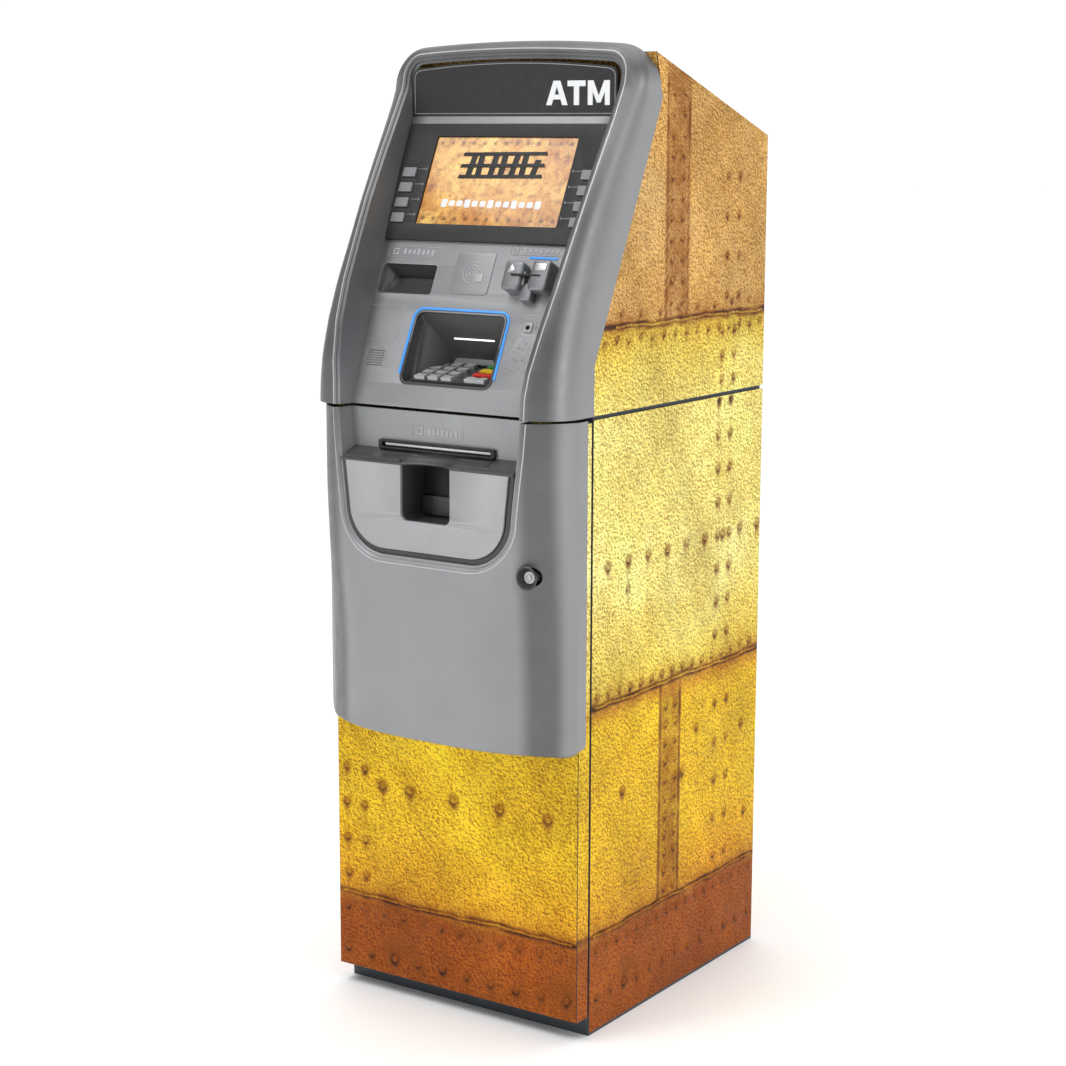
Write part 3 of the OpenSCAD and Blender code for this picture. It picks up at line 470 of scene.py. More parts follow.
def arch(half, top, r, depth):
    """Points over the head's opening, left foot to right foot. half and depth are functions of z."""
    turn = half(top - r)
    left = [(-half(z), z) for z in np.linspace(UPPER_BOTTOM, top - r, SIDE_STEPS)]
    corner = [(-turn + r - r * math.cos(a), top - r + r * math.sin(a))
              for a in np.linspace(0, math.pi / 2, CORNER_STEPS)[1:]]
    top_line = [(x, top) for x in np.linspace(-turn + r, 0, TOP_STEPS)[1:]]
    half_path = left + corner + top_line
    path = half_path + [(-x, z) for x, z in half_path[-2::-1]]
    return [(x, depth(z), bowed(x, z, top, r)) for x, z in path]


def interp(table):
    return lambda z: float(np.interp(z, *table))


def between(f, g, share):
    return lambda z: f(z) * (1 - share) + g(z) * share


def nose_relief():
    """Room in the hinged side's wall, so that it clears the head's nose as it swings."""
    start = (CORNER_Z - BEND_Z) / math.cos(LEAN) + 3
    corners = []
    for x in (-FASCIA_HALF - 1, -HALF + 0.3):
        for along in (start, start + 30):
            for out in (-22, 38):
                corners.append((x, along * math.sin(LEAN) + out * math.cos(LEAN),
                                BEND_Z + along * math.cos(LEAN) - out * math.sin(LEAN)))
    return mesh_object("cutter", put(corners), [(0, 1, 3, 2), (4, 6, 7, 5), (0, 4, 5, 1), (2, 3, 7, 6), (0, 2, 6, 4), (1, 5, 7, 3)])


def make_upper_shell():
    edge, crest, band, crest_y = (lambda z: FASCIA_HALF), interp(CREST_X), interp(BAND_Y), interp(CREST_Y)
    rings = [arch(edge, UPPER_TOP - 2, 44, rear_y),
             arch(edge, UPPER_TOP - 1.4, 44, lambda z: min(rear_y(z), band(z) + 2.0)),
             arch(edge, UPPER_TOP - 1.5, 43.9, lambda z: min(rear_y(z), band(z) + 0.5))]
    for i in range(FLANK_STEPS + 1):
        a = math.pi / 2 * i / FLANK_STEPS
        inward, forward = 1 - math.cos(a), math.sin(a)
        rings.append(arch(between(edge, crest, inward), UPPER_TOP - 1.6 - 12 * inward, 43.5 - 21 * inward,
                          lambda z, f=forward: min(rear_y(z), band(z)) * (1 - f) + crest_y(z) * f))
    for step_in, step_back in ((1.4, 0.3), (2.0, 2.0), (2.6, 2.4), (5.4, 2.6), (6.0, 3.0), (6.4, 5.5)):
        rings.append(arch(lambda z, d=step_in: crest(z) - d, UPPER_TOP - 13.6 - step_in, 22 - step_in,
                          lambda z, d=step_back: crest_y(z) + d))
    floor = lambda z: max(console_y(z) + 1.5, crest_y(z) + 6) if z < SIGN_LOW else console_y(SIGN_LOW) + 1.5
    for share in (0.25, 0.6, 1.0):
        rings.append(arch(between(lambda z: crest(z) - 6.6, recess_x, share), ARCH_TOP - 1 - share, 15 - 2 * share,
                          between(lambda z: crest_y(z) + 6.0, floor, share)))
    shell = swept("upper_fascia_shell", rings)
    thicken(shell, 2.2)
    settle(shell)
    cut(shell, nose_relief())
    finish_piece(shell, "upper_fascia", "fascia_plastic", instead=["upper_fascia"], smooth=28)
    # Painted highlight: a thin raised bead along the rim's inner edge, painted pale to stand for the bright line there.
    bead = swept("rim_bead", [arch(lambda z, d=inward: crest(z) - d, UPPER_TOP - 13.6 - inward, 22 - inward,
                                   lambda z, h=high: crest_y(z) - h)
                              for inward, high in ((-3.2, -0.5), (-2.8, 0.45), (-1.8, 0.5), (-1.4, -0.4))])
    finish_piece(bead, "upper_fascia", mat=PALE_PAINT_AND_HIGHLIGHT)


RECEIPT = (-100, 168, 87, 42, 5)
HOOD = (0, 78, 142, 100, 12)
CARD = (93, 172)
LCD = (0, 303, 217, 121, 2)
JACK = (103, 112)
SPEAKER = (-118, 60)
CONSOLE_TOP = (SIGN_LOW - CONSOLE_Z) / math.cos(CONSOLE_LEAN)


def make_console():
    """The flat silver plate between the rims, with its openings."""
    levels = np.linspace(0, CONSOLE_TOP, 30)
    z_of = lambda s: CONSOLE_Z + s * math.cos(CONSOLE_LEAN)
    right = [(recess_x(z_of(s)) + 0.6, s) for s in levels]
    left = [(-x, s) for x, s in right[::-1]]
    holes = [rounded(*RECEIPT), rounded(*HOOD), rounded(CARD[0], CARD[1], 60, 34, 4), disc(*JACK, 6.2)]
    for i in range(-4, 5):
        for j in range(-3, 4):
            x, s = SPEAKER[0] + 2.9 * i + 1.45 * (j % 2), SPEAKER[1] + 3.3 * j
            holes.append(disc(x, s, 1.05, 8))
    plate = extruded("console_plate", [right + left] + holes, -2.2, 0, CONSOLE, 0.12)
    finish_piece(plate, "upper_fascia", "fascia_plastic", smooth=20)
    foot = extruded("console_foot", [rounded(0, 0, 2 * recess_x(0) + 1, 4, 0.4)], -2, 0,
                    upright(-CONSOLE_OUT, CONSOLE_Z - 0.2), 0.1)
    finish_piece(foot, "upper_fascia", "fascia_plastic")
    # Painted shade: a near-black disc behind the speaker holes.
    mesh = extruded("speaker_mesh", [disc(*SPEAKER, 17)], -3.4, -2.6, CONSOLE, 0.1)
    finish_piece(mesh, "upper_fascia", mat=SHADE_BLACK)


def outline(name, cx, cy, w, h, r, line, high, slot="light_plastic", low=0.0, place=CONSOLE, body="upper_fascia"):
    ob = extruded(name, [rounded(cx, cy, w, h, r), rounded(cx, cy, w - 2 * line, h - 2 * line, max(0.3, r - line))],
                  low, high, place, 0.1)
    return finish_piece(ob, body, slot)


def label(name, cx, cy, w, h, marks, place=CONSOLE, body="upper_fascia"):
    """Embossed plate: a thin frame, a small pictogram box and a row of plain marks."""
    parts = [extruded(name + "_frame", [rounded(cx, cy, w, h, 2), rounded(cx, cy, w - 1.2, h - 1.2, 1.4)], 0, 0.5, place, 0.1)]
    box_x = cx - w / 2 + h * 0.75
    parts.append(extruded(name + "_box", [rounded(box_x, cy, h * 0.6, h * 0.6, 1), rounded(box_x, cy, h * 0.36, h * 0.36, 0.6)],
                          0, 0.6, place, 0.1))
    start, step = box_x + h * 0.7, (w - h * 1.9) / marks
    for i in range(marks):
        tall = h * (0.42 if i % 3 else 0.55)
        parts.append(extruded(name + "_mark", [rounded(start + (i + 0.5) * step, cy, step * 0.55, tall, 0.4)], 0, 0.5, place, 0.1))
    finish_piece(joined(name, parts), body, "light_plastic")


def make_console_details():
    label("receipt_label", -100, 204.5, 80, 15, 7)
    label("card_label", 88, 212, 80, 12, 7)
    plate = extruded("contactless_plate", [rounded(0, 179, 58, 56, 5)], 0, 0.9, CONSOLE, 0.45)
    finish_piece(plate, "upper_fascia", mat=MATS["fascia_plastic"])
    rings = [extruded("ring", [disc(0, 180, r), disc(0, 180, r - 1.5)], 0.8, 1.4, CONSOLE, 0.2) for r in (6, 10.5, 15)]
    rings.append(extruded("card_mark", [rounded(9, 173, 17, 11, 1.5)], 0.8, 1.7, CONSOLE, 0.25))
    finish_piece(joined("contactless_mark", rings), "upper_fascia", "light_plastic", instead=["contactless_reader"])
    outline("blank_cover", -118.5, 108, 55, 46, 4, 0.6, 0.35)
    dots = [(85, 95), (89, 95), (101, 95), (106, 92), (86, 86), (90, 82), (97, 86), (103, 84), (110, 86),
            (92, 72), (96, 69), (106, 71), (110, 68), (84, 58), (88, 55), (93, 57), (99, 55), (104, 58), (112, 56)]
    parts = [extruded("dot", [disc(x, s, 1.1, 10)], 0, 0.8, CONSOLE, 0.35) for x, s in dots]
    for s, w in ((128, 24), (124, 16), (101.5, 26), (99, 22)):
        parts.append(extruded("line", [rounded(103, s, w, 1.1, 0.4)], 0, 0.35, CONSOLE, 0.1))
    finish_piece(joined("braille_plate", parts), "upper_fascia", "light_plastic")
    ring = extruded("jack_ring", [rounded(*JACK, 12.6, 12.6, 3), disc(*JACK, 3.2)], 0, 1.4, CONSOLE, 0.4)
    finish_piece(ring, "upper_fascia", "light_plastic")
    barrel = extruded("jack_barrel", [disc(*JACK, 3.2), disc(*JACK, 1.75)], -12, 0.9, CONSOLE, 0.2)
    finish_piece(barrel, "upper_fascia", "gloss_black", instead=["audio_jack"])
    mark = extruded("jack_mark", [disc(JACK[0] + 14, JACK[1], 4.5), disc(JACK[0] + 14, JACK[1], 3.6)], 0, 0.5, CONSOLE, 0.1)
    finish_piece(mark, "upper_fascia", "light_plastic")


def well(name, opening, depth, rings):
    """A dished well: rounded-rectangle rings sink by depth(x, s) below the console."""
    cx, cs, w, h, r = opening
    points = []
    for e in rings:
        for x, s in rounded(cx, cs, w - 2 * e, h - 2 * e, max(0.4, r - e)):
            points.append((x, s, -depth(x, s)))
    count = len(rounded(cx, cs, w, h, r))
    faces = quads(len(rings), count, closed=True)
    last = (len(rings) - 1) * count
    faces += [(last + i, last + i + 1, last + count - 2 - i, last + count - 1 - i) for i in range(count // 2 - 1)]
    me = bpy.data.meshes.new(name)
    me.from_pydata([(CONSOLE @ Vector((x * MM, s * MM, n * MM))) for x, s, n in points], [], faces)
    bm = bmesh.new()
    bm.from_mesh(me)
    bmesh.ops.remove_doubles(bm, verts=bm.verts, dist=1e-6)
    bmesh.ops.recalc_face_normals(bm, faces=bm.faces)
    bm.to_mesh(me)
    bm.free()
    return new_object(name, me)


def smooth_least(values, radius):
    """Least of several heights with the corner between them rounded off."""
    low = min(values)
    return low - radius * math.log(sum(math.exp(-(v - low) / radius) for v in values))


def dense_rings(reach, count=26):
    return [0.0] + [reach * (i / count) ** 1.6 for i in range(1, count + 1)]


KEY_ROOM = 3.2


def make_keypad_well():
    cx, cs, w, h, r = HOOD
    inner = (cx, cs, w - 7, h - 7, 9)
    low, high = cs - h / 2 + 3, cs + h / 2 - 3

    def depth(x, s):
        side = (inner[2] / 2 - abs(x - cx)) * 3.4
        floor = (s - low) * 1.33 + KEY_ROOM
        back = (high - s) * 1.16
        return max(0.0, smooth_least((side + 1.5, floor + 1.5, back + 1.5), 2.2)) if min(side, floor, back) > 0 else 0.0
    hood = well("keypad_hood_well", inner, depth, dense_rings(inner[3] / 2 - 0.6, 34))
    finish_piece(hood, "upper_fascia", "dark_plastic", instead=["keypad_hood"], smooth=50)
    rim = extruded("keypad_hood_rim", [rounded(cx, cs, w, h, r), rounded(cx, cs, w - 7.2, h - 7.2, 9)], -4, 0.9, CONSOLE, 0.7)
    finish_piece(rim, "upper_fascia", "dark_plastic")
    lip = extruded("keypad_hood_lip", [rounded(cx, cs + 12, w - 2.4, h - 26.4, 10.5),
                                       rounded(cx, cs + 12, w - 6.4, h - 30.4, 8.6)], 0.6, 1.2, CONSOLE, 0.25)
    cutter = extruded("cutter", [rounded(cx, cs - 25, w + 20, 60, 1)], -5, 5, CONSOLE, 0.1)
    cut(lip, cutter)
    finish_piece(lip, "upper_fascia", "module_silver")
    deep = (cs - h / 2 + 3) + (h - 6) * 1.16 / (1.33 + 1.16)
    bar_s = deep + 27
    bar = extruded("keypad_lamp", [rounded(7, bar_s, 62, 1.6, 0.8)], -depth(7, bar_s) - 0.3, -depth(7, bar_s) + 1.0, CONSOLE, 0.2)
    finish_piece(bar, "upper_fascia", mat=WHITE_GLOW)
    ledge_s = deep + 6
    ledge = extruded("keypad_ledge", [rounded(4, ledge_s, 96, 11, 4.5)], -depth(4, ledge_s) - 4, -depth(4, ledge_s) + 3.2, CONSOLE, 2.6)
    finish_piece(ledge, "upper_fascia", mat=DARK_PLATE)


def make_light_strip():
    cx, cs, w, h, r = HOOD
    strip = extruded("hood_light_strip", [rounded(cx, cs, w + 6.4, h + 6.4, r + 3.2), rounded(cx, cs, w + 0.4, h + 0.4, r)],
                     0.1, 1.3, CONSOLE, 0.35)
    cut(strip, extruded("cutter", [rounded(0, cs - h / 2 - 8, w + 30, 44, 1)], -5, 5, CONSOLE, 0.1))
    finish_piece(strip, "upper_fascia", "blue_light", instead=["light_strips"])
    bar = extruded("card_light_strip", [rounded(100, 203, 42, 2.6, 1)], 0.1, 1.3, CONSOLE, 0.35)
    finish_piece(bar, "upper_fascia", "blue_light")


def make_receipt_mouth():
    cx, cs, w, h, r = RECEIPT
    inner = (cx, cs, w - 1, h - 1, r - 0.5)

    def depth(x, s):
        side = (inner[2] / 2 - abs(x - cx)) * 2.2
        up = (s - (cs - inner[3] / 2)) / inner[3]
        floor = 21 * math.sin(min(1.0, up / 0.72) * math.pi / 2) ** 0.8
        back = (cs + inner[3] / 2 - s) * 2.2
        return max(0.0, smooth_least((side, floor, back), 1.2)) if min(side, floor, back) > 0 else 0.0
    finish_piece(well("receipt_mouth", inner, depth, dense_rings(inner[3] / 2 - 0.6, 22)), "upper_fascia",
                 "dark_plastic", instead=["receipt_chute"], smooth=50)
    edge = extruded("receipt_edge", [rounded(cx, cs, w + 0.4, h + 0.4, r), rounded(cx, cs, w - 1.8, h - 1.8, r - 0.9)],
                    -3, 0.25, CONSOLE, 0.2)
    finish_piece(edge, "upper_fascia", "fascia_plastic")
    # Painted shade: a near-black strip deep in the receipt mouth for the slit.
    slit = extruded("receipt_slit", [rounded(cx + 4, cs + 10.5, 66, 3, 0.8)], -20.5, -18.6, CONSOLE, 0.2)
    finish_piece(slit, "upper_fascia", mat=SHADE_BLACK)


def make_card_reader():
    """Two horn-shaped lobes with a V between them, the slot across it, and a tongue below."""
    x0, s0 = CARD
    parts = [extruded("card_bezel_base", [rounded(x0, s0, 68, 34, 5), rounded(x0, s0, 50, 3, 1)], 0, 4, CONSOLE, 1)]
    for x, s, w, h, r, tall in ((-20, 1, 27, 38, 6, 19), (20.5, 2, 26, 40, 5, 20.5), (1, -17, 19, 24, 4, 12)):
        parts.append(extruded("lobe", [rounded(x0 + x, s0 + s, w, h, r)], 0, tall, CONSOLE, 2.6))
    for sx, tall in ((-1, 15), (1, 15)):
        arm = [(x0 + sx * 10, s0 - 12), (x0 + sx * 10, s0 + 13), (x0 + sx * 2.5, s0 + 4), (x0 + sx * 2.5, s0 - 9)]
        parts.append(extruded("arm", [arm], 0, tall, CONSOLE, 1.2))
    finish_piece(joined("card_bezel", parts), "upper_fascia", "module_silver", instead=["card_reader_bezel"], smooth=40)
    throat = extruded("card_throat", [[(x0 - 5, s0 + 9), (x0 + 11, s0 + 20), (x0 + 7, s0 - 8), (x0 - 5, s0 - 9)]], 3, 9, CONSOLE, 0.5)
    finish_piece(throat, "upper_fascia", "dark_plastic")
    # Painted shade: a near-black block fills the card slot.
    slot = extruded("card_slot", [rounded(x0 + 1, s0 + 1, 44, 2.4, 0.6)], 12, 20.9, CONSOLE, 0.1)
    finish_piece(slot, "upper_fascia", mat=SHADE_BLACK)
    pad = extruded("card_inlay", [rounded(x0 + 20.5, s0 + 12, 17, 9, 2)], 20, 21.4, CONSOLE, 0.4)
    finish_piece(pad, "upper_fascia", "bright_steel")
    arrow = extruded("card_arrow", [[(x0 - 28, s0 + 3), (x0 - 17, s0 + 7), (x0 - 23, s0 + 15)]], 18.6, 19.6, CONSOLE, 0.3)
    finish_piece(arrow, "upper_fascia", "bright_steel")


def make_bezel():
    top, bottom = 381, 220
    half = 156
    keys = [rounded(sx * 137.5, LCD[1] - 22 + (i - 1.5) * 21, 20.6, 13.1, 1) for sx in (-1, 1) for i in range(4)]
    face = extruded("screen_bezel_face", [rounded(0, (top + bottom) / 2, 2 * half, top - bottom, 2.5), rounded(*LCD)] + keys,
                    0, 4, CONSOLE, 0.5)
    finish_piece(face, "upper_fascia", "gloss_black", instead=["screen_bezel"])
    guides = []
    for sx in (-1, 1):
        for i in range(4):
            s = LCD[1] - 22 + (i - 1.5) * 21
            guides.append(extruded("guide", [rounded(sx * 119.4, s + 5, 13.4, 0.8, 0.3)], 4, 4.25, CONSOLE, 0.05))
            guides.append(extruded("tick", [rounded(sx * 112.5, s + 5, 1.6, 3.6, 0.5)], 4, 4.3, CONSOLE, 0.05))
    finish_piece(joined("key_guides", guides), "upper_fascia", "module_silver")
    bar = extruded("console_divider", [rounded(0, 387.5, 2 * half + 3, 13, 1.5)], 0, 3.4, CONSOLE, 1.2)
    finish_piece(bar, "upper_fascia", "fascia_plastic")


SCREEN_COLUMNS, SCREEN_ROWS = 160, 92


def make_screen():
    """Lit picture of weathered plate with a plain bar emblem, painted on the mesh."""
    cx, cs, w, h, _ = LCD
    grid = [(cx + (c / (SCREEN_COLUMNS - 1) - 0.5) * (w - 1), cs + (r / (SCREEN_ROWS - 1) - 0.5) * (h - 1))
            for r in range(SCREEN_ROWS) for c in range(SCREEN_COLUMNS)]
    me = bpy.data.meshes.new("screen_picture")
    me.from_pydata([CONSOLE @ Vector((x * MM, s * MM, 1.7 * MM)) for x, s in grid], [], quads(SCREEN_ROWS, SCREEN_COLUMNS))
    xs, ss = np.array(grid).T
    u, v = (xs - cx) / w * 2, (ss - cs) / h * 2
    edge = np.clip((np.abs(u) ** 3 + np.abs(v) ** 3) * 0.7, 0, 1)
    rivets = sum(np.exp(-(((u - a) * w / 2) ** 2 + ((v - b) * h / 2) ** 2) / 7)
                 for a in np.linspace(-0.92, 0.92, 13) for b in (-0.86, 0.86))
    paint_mesh(me, "stain", np.clip(0.25 * edge + 0.9 * rivets, 0, 1.2))
    n = Nodes("screen_picture")
    stain = n.add("ShaderNodeAttribute", attribute_name="stain").outputs["Fac"]
    cloud, patch = n.noise(16, 7, 0.65), n.noise(95, 7, 0.7)
    base = n.mix(n.spread(cloud, 0.35, 0.66), linear(168, 98, 30), linear(236, 192, 104))
    base = n.mix(n.spread(patch, 0.47, 0.66, 0, 0.8), base, linear(122, 62, 18))
    base = n.mix(n.spread(n.noise(420, 3, 0.7), 0.52, 0.7, 0, 0.5), base, linear(96, 50, 16))
    base = n.mix(n.spread(stain, 0.1, 0.9, 0, 0.85), base, linear(74, 36, 12))
    n.set(Base_Color=base, Emission_Color=base, Emission_Strength=0.3, Roughness=0.2, Coat_Weight=0.5, Coat_Roughness=0.05)
    finish_piece(new_object("screen_picture", me), "upper_fascia", "display", mat=n.mat, instead=["lcd_panel"])
    marks = []
    for x, tall, tilt in ((-46, 30, 5), (-31, 30, -5), (-12, 30, 3), (4, 30, -3), (20, 30, 4), (36, 30, -4), (52, 24, 6)):
        marks.append([(x - 5, cs + 6), (x + 4, cs + 6), (x + 6 + tilt * 0.4, cs + 6 + tall), (x - 3 + tilt * 0.4, cs + 6 + tall)])
    bars = [extruded("mark", [m], 1.8, 2.1, CONSOLE, 0.1) for m in marks]
    bars += [extruded("mark", [[(-62, cs + y), (68, cs + y + 2), (66, cs + y + 7), (-60, cs + y + 5)]], 2.1, 2.4, CONSOLE, 0.1)
             for y in (3, 18, 34)]
    finish_piece(joined("screen_emblem", bars), "upper_fascia", "gloss_black")
    dots = [extruded("dot", [rounded(-72 + 12 * i, cs - 31, 9, 8 if i % 3 else 11, 2)], 1.8, 2.1, CONSOLE, 0.1) for i in range(13)]
    finish_piece(joined("screen_footer", dots), "upper_fascia", mat=WHITE_PRINT)


def paint_mesh(me, name, values):
    """Writes one number or one colour per vertex."""
    values = np.asarray(values, np.float32)
    if values.ndim == 1:
        values = np.repeat(values[:, None], 3, axis=1)
    data = np.concatenate([values, np.ones((len(values), 1), np.float32)], axis=1)
    layer = me.color_attributes.new(name, "FLOAT_COLOR", "POINT")
    layer.data.foreach_set("color", data.ravel())


def make_sign():
    place = upright(console_y(SIGN_LOW) - 1)
    half = 156.5
    def plate(inset):
        wide, r = half - inset, 11 - inset * 0.6
        top = [(x, SIGN_TOP - inset + HOOD_BOW * (1 - (x / half) ** 2)) for x in np.linspace(wide - r, -wide + r, 25)]
        return ([(-wide, SIGN_LOW + inset), (wide, SIGN_LOW + inset)] + arc(wide - r, SIGN_TOP - inset - r + 1, r, 0, 80)
                + top + arc(-wide + r, SIGN_TOP - inset - r + 1, r, 100, 180))
    face = extruded("sign_face", [plate(0)], 0, 4, place, 0.6)
    finish_piece(face, "upper_fascia", "gloss_black", instead=["sign_panel"])
    line = extruded("sign_line", [plate(2.2), plate(3.4)], 4, 4.5, place, 0.15)
    finish_piece(line, "upper_fascia", "module_silver")
    low, high, thick = 1167, 1197, 7
    a = [[(52, low), (63, high), (73, high), (84, low), (76, low), (73.6, low + 7), (62.4, low + 7), (60, low)],
         [(64.6, low + 13), (71.4, low + 13), (68, high - 6.5)]]
    t = [[(84, high), (84, high - thick), (93.4, high - thick), (93.4, low), (101, low), (101, high - thick), (110.4, high - thick), (110.4, high)]]
    m = [[(114, low), (114, high), (122, high), (130, low + 11), (138, high), (146, high), (146, low), (139, low),
          (139, high - 13), (132.6, low + 3), (127.4, low + 3), (121, high - 13), (121, low)]]
    letters = [extruded("letter", loops, 4, 4.9, place, 0.15) for loops in (a, t, m)]
    finish_piece(joined("sign_letters", letters), "upper_fascia", mat=WHITE_PRINT)


# ------------------------------------------------------------ lower fascia
SHIELD_X = ([606, 656, 750, 795], [118, 129.5, 140, 143.5])
SHIELD_LOW, SHIELD_R = 606, 66
LOCK = (HALF - 40, LOWER_TOP - 187)
DOWN_STEPS, TURN_STEPS, FOOT_STEPS = 34, 14, 14


def crown(x, z):
    """Depth of the bowed front; it bows more towards its foot."""
    share = min(1.0, max(0.0, (z - BOW_LOW) / (BOW_HIGH - BOW_LOW)))
    power = FOOT_POWER + (CROWN_POWER - FOOT_POWER) * share * share * (3 - 2 * share)
    return -CROWN_OUT + CROWN_DROP * min(1.0, abs(x) / FASCIA_HALF) ** power


def cradle(half, low, r, depth, top=None):
    """Points down the left side, across the bottom and up the right side."""
    top = LOWER_TOP if top is None else top
    turn = half(low + r)
    left = [(-half(z), z) for z in np.linspace(top, low + r, DOWN_STEPS)]
    corner = [(-turn + r - r * math.cos(a), low + r - r * math.sin(a)) for a in np.linspace(0, math.pi / 2, TURN_STEPS)[1:]]
    foot = [(x, low) for x in np.linspace(-turn + r, 0, FOOT_STEPS)[1:]]
    half_path = left + corner + foot
    path = half_path + [(-x, z) for x, z in half_path[-2::-1]]
    return [(x, depth(x, z), z) for x, z in path]


def make_lower_shell():
    rear_side, rear_foot = PANEL_Y + 12, PANEL_Y - 1.2
    flat = lambda x: rear_side if abs(x) > HALF + 0.6 else rear_foot
    foot_r, roll = 19, 8
    rings = [cradle(lambda z: FASCIA_HALF, LOWER_BOTTOM, foot_r, lambda x, z: flat(x))]
    for i in range(1, 9):
        rise = roll * (1 - math.cos(math.pi / 2 * i / 8))
        share = math.sin(math.pi / 2 * i / 8)
        rings.append(cradle(lambda z: FASCIA_HALF, LOWER_BOTTOM + rise, foot_r - rise * 0.4,
                            lambda x, z, g=share: flat(x) + (crown(x, z) - flat(x)) * g))
    shield = interp(SHIELD_X)
    for i in range(1, 27):
        share = (i / 26) ** 1.5
        rings.append(cradle(between(lambda z: FASCIA_HALF, lambda z: shield(max(z, 640)), share),
                            LOWER_BOTTOM + roll + (SHIELD_LOW - LOWER_BOTTOM - roll) * share,
                            16 + (SHIELD_R - 16) * share, crown))
    for inward, back in ((0.5, 0.5), (1.6, 1.9), (2.0, 3.2), (2.6, 3.4), (4.2, 3.6), (4.8, 4.2), (5.0, 6.0)):
        rings.append(cradle(lambda z, d=inward: shield(max(z, 640)) - d, SHIELD_LOW + inward, SHIELD_R - inward,
                            lambda x, z, b=back: crown(x, z) + b))
    for share in (0.3, 1.0):
        rings.append(cradle(lambda z, d=share: shield(max(z, 640)) - 5 - 2.5 * d, SHIELD_LOW + 5 + 3 * share, SHIELD_R - 5,
                            lambda x, z, d=share: (crown(x, z) + 6) * (1 - d) - (CONSOLE_OUT - 1) * d))
    shell = swept("lower_fascia_shell", rings)
    thicken(shell, 2.2)
    settle(shell)
    cutter = extruded("cutter", [disc(LOCK[0], LOCK[1], 12.5, 32)], 55, 120, upright(0), 0.1)
    cut(shell, cutter)
    finish_piece(shell, "front_door", "fascia_plastic", instead=["lower_fascia"], smooth=28)
    # Painted highlight: a thin raised bead round the shield, painted pale to stand for the bright line there.
    bead = swept("shield_bead", [cradle(lambda z, d=out: shield(max(z, 640)) + d, SHIELD_LOW - out, SHIELD_R + out,
                                        lambda x, z, h=high: crown(x, z) - h, top=LOWER_TOP - 0.5)
                                 for out, high in ((5.2, -0.4), (4.8, 0.5), (3.8, 0.5), (3.4, -0.4))])
    finish_piece(bead, "front_door", mat=PALE_PAINT_AND_HIGHLIGHT)
    cup = dished("lock_cup", LOCK, [(15.2, 84.6), (14.4, 85.4), (12.8, 85), (11.6, 80), (8.4, 76)])
    finish_piece(cup, "front_door", "dark_plastic")
    ring = dished("lock_ring", LOCK, [(8.0, 75.5), (8.0, 77.6), (7.2, 78.2), (4.6, 78.2), (4.2, 77.2), (3.9, 77.2), (3.6, 78.6), (1.6, 79), (0.2, 79)])
    finish_piece(ring, "fascia_lock", mat=PALE_PAINT_AND_HIGHLIGHT)


def dished(name, centre, profile, steps=40):
    """A turned piece that faces the user; profile holds (radius, distance in front of the cabinet)."""
    points = [(centre[0] + r * math.cos(a), -out, centre[1] + r * math.sin(a))
              for r, out in profile for a in np.linspace(0, 2 * math.pi, steps, endpoint=False)]
    return mesh_object(name, put(points), quads(len(profile), steps, closed=True))


SHELF_Z = SAFE_TOP + 4 - 62
SLOT_Z = SAFE_TOP + 4 - 46
PANEL_OUT = CROWN_OUT - 4.5
POCKET = (76, 657)


def shield_line(inset, top, bottom_extra=0.0):
    half = interp(SHIELD_X)
    path = cradle(lambda z: half(max(z, 640)) - inset, SHIELD_LOW + inset + bottom_extra, SHIELD_R - inset,
                  lambda x, z: 0, top=top)
    return [(x, z) for x, _, z in path]


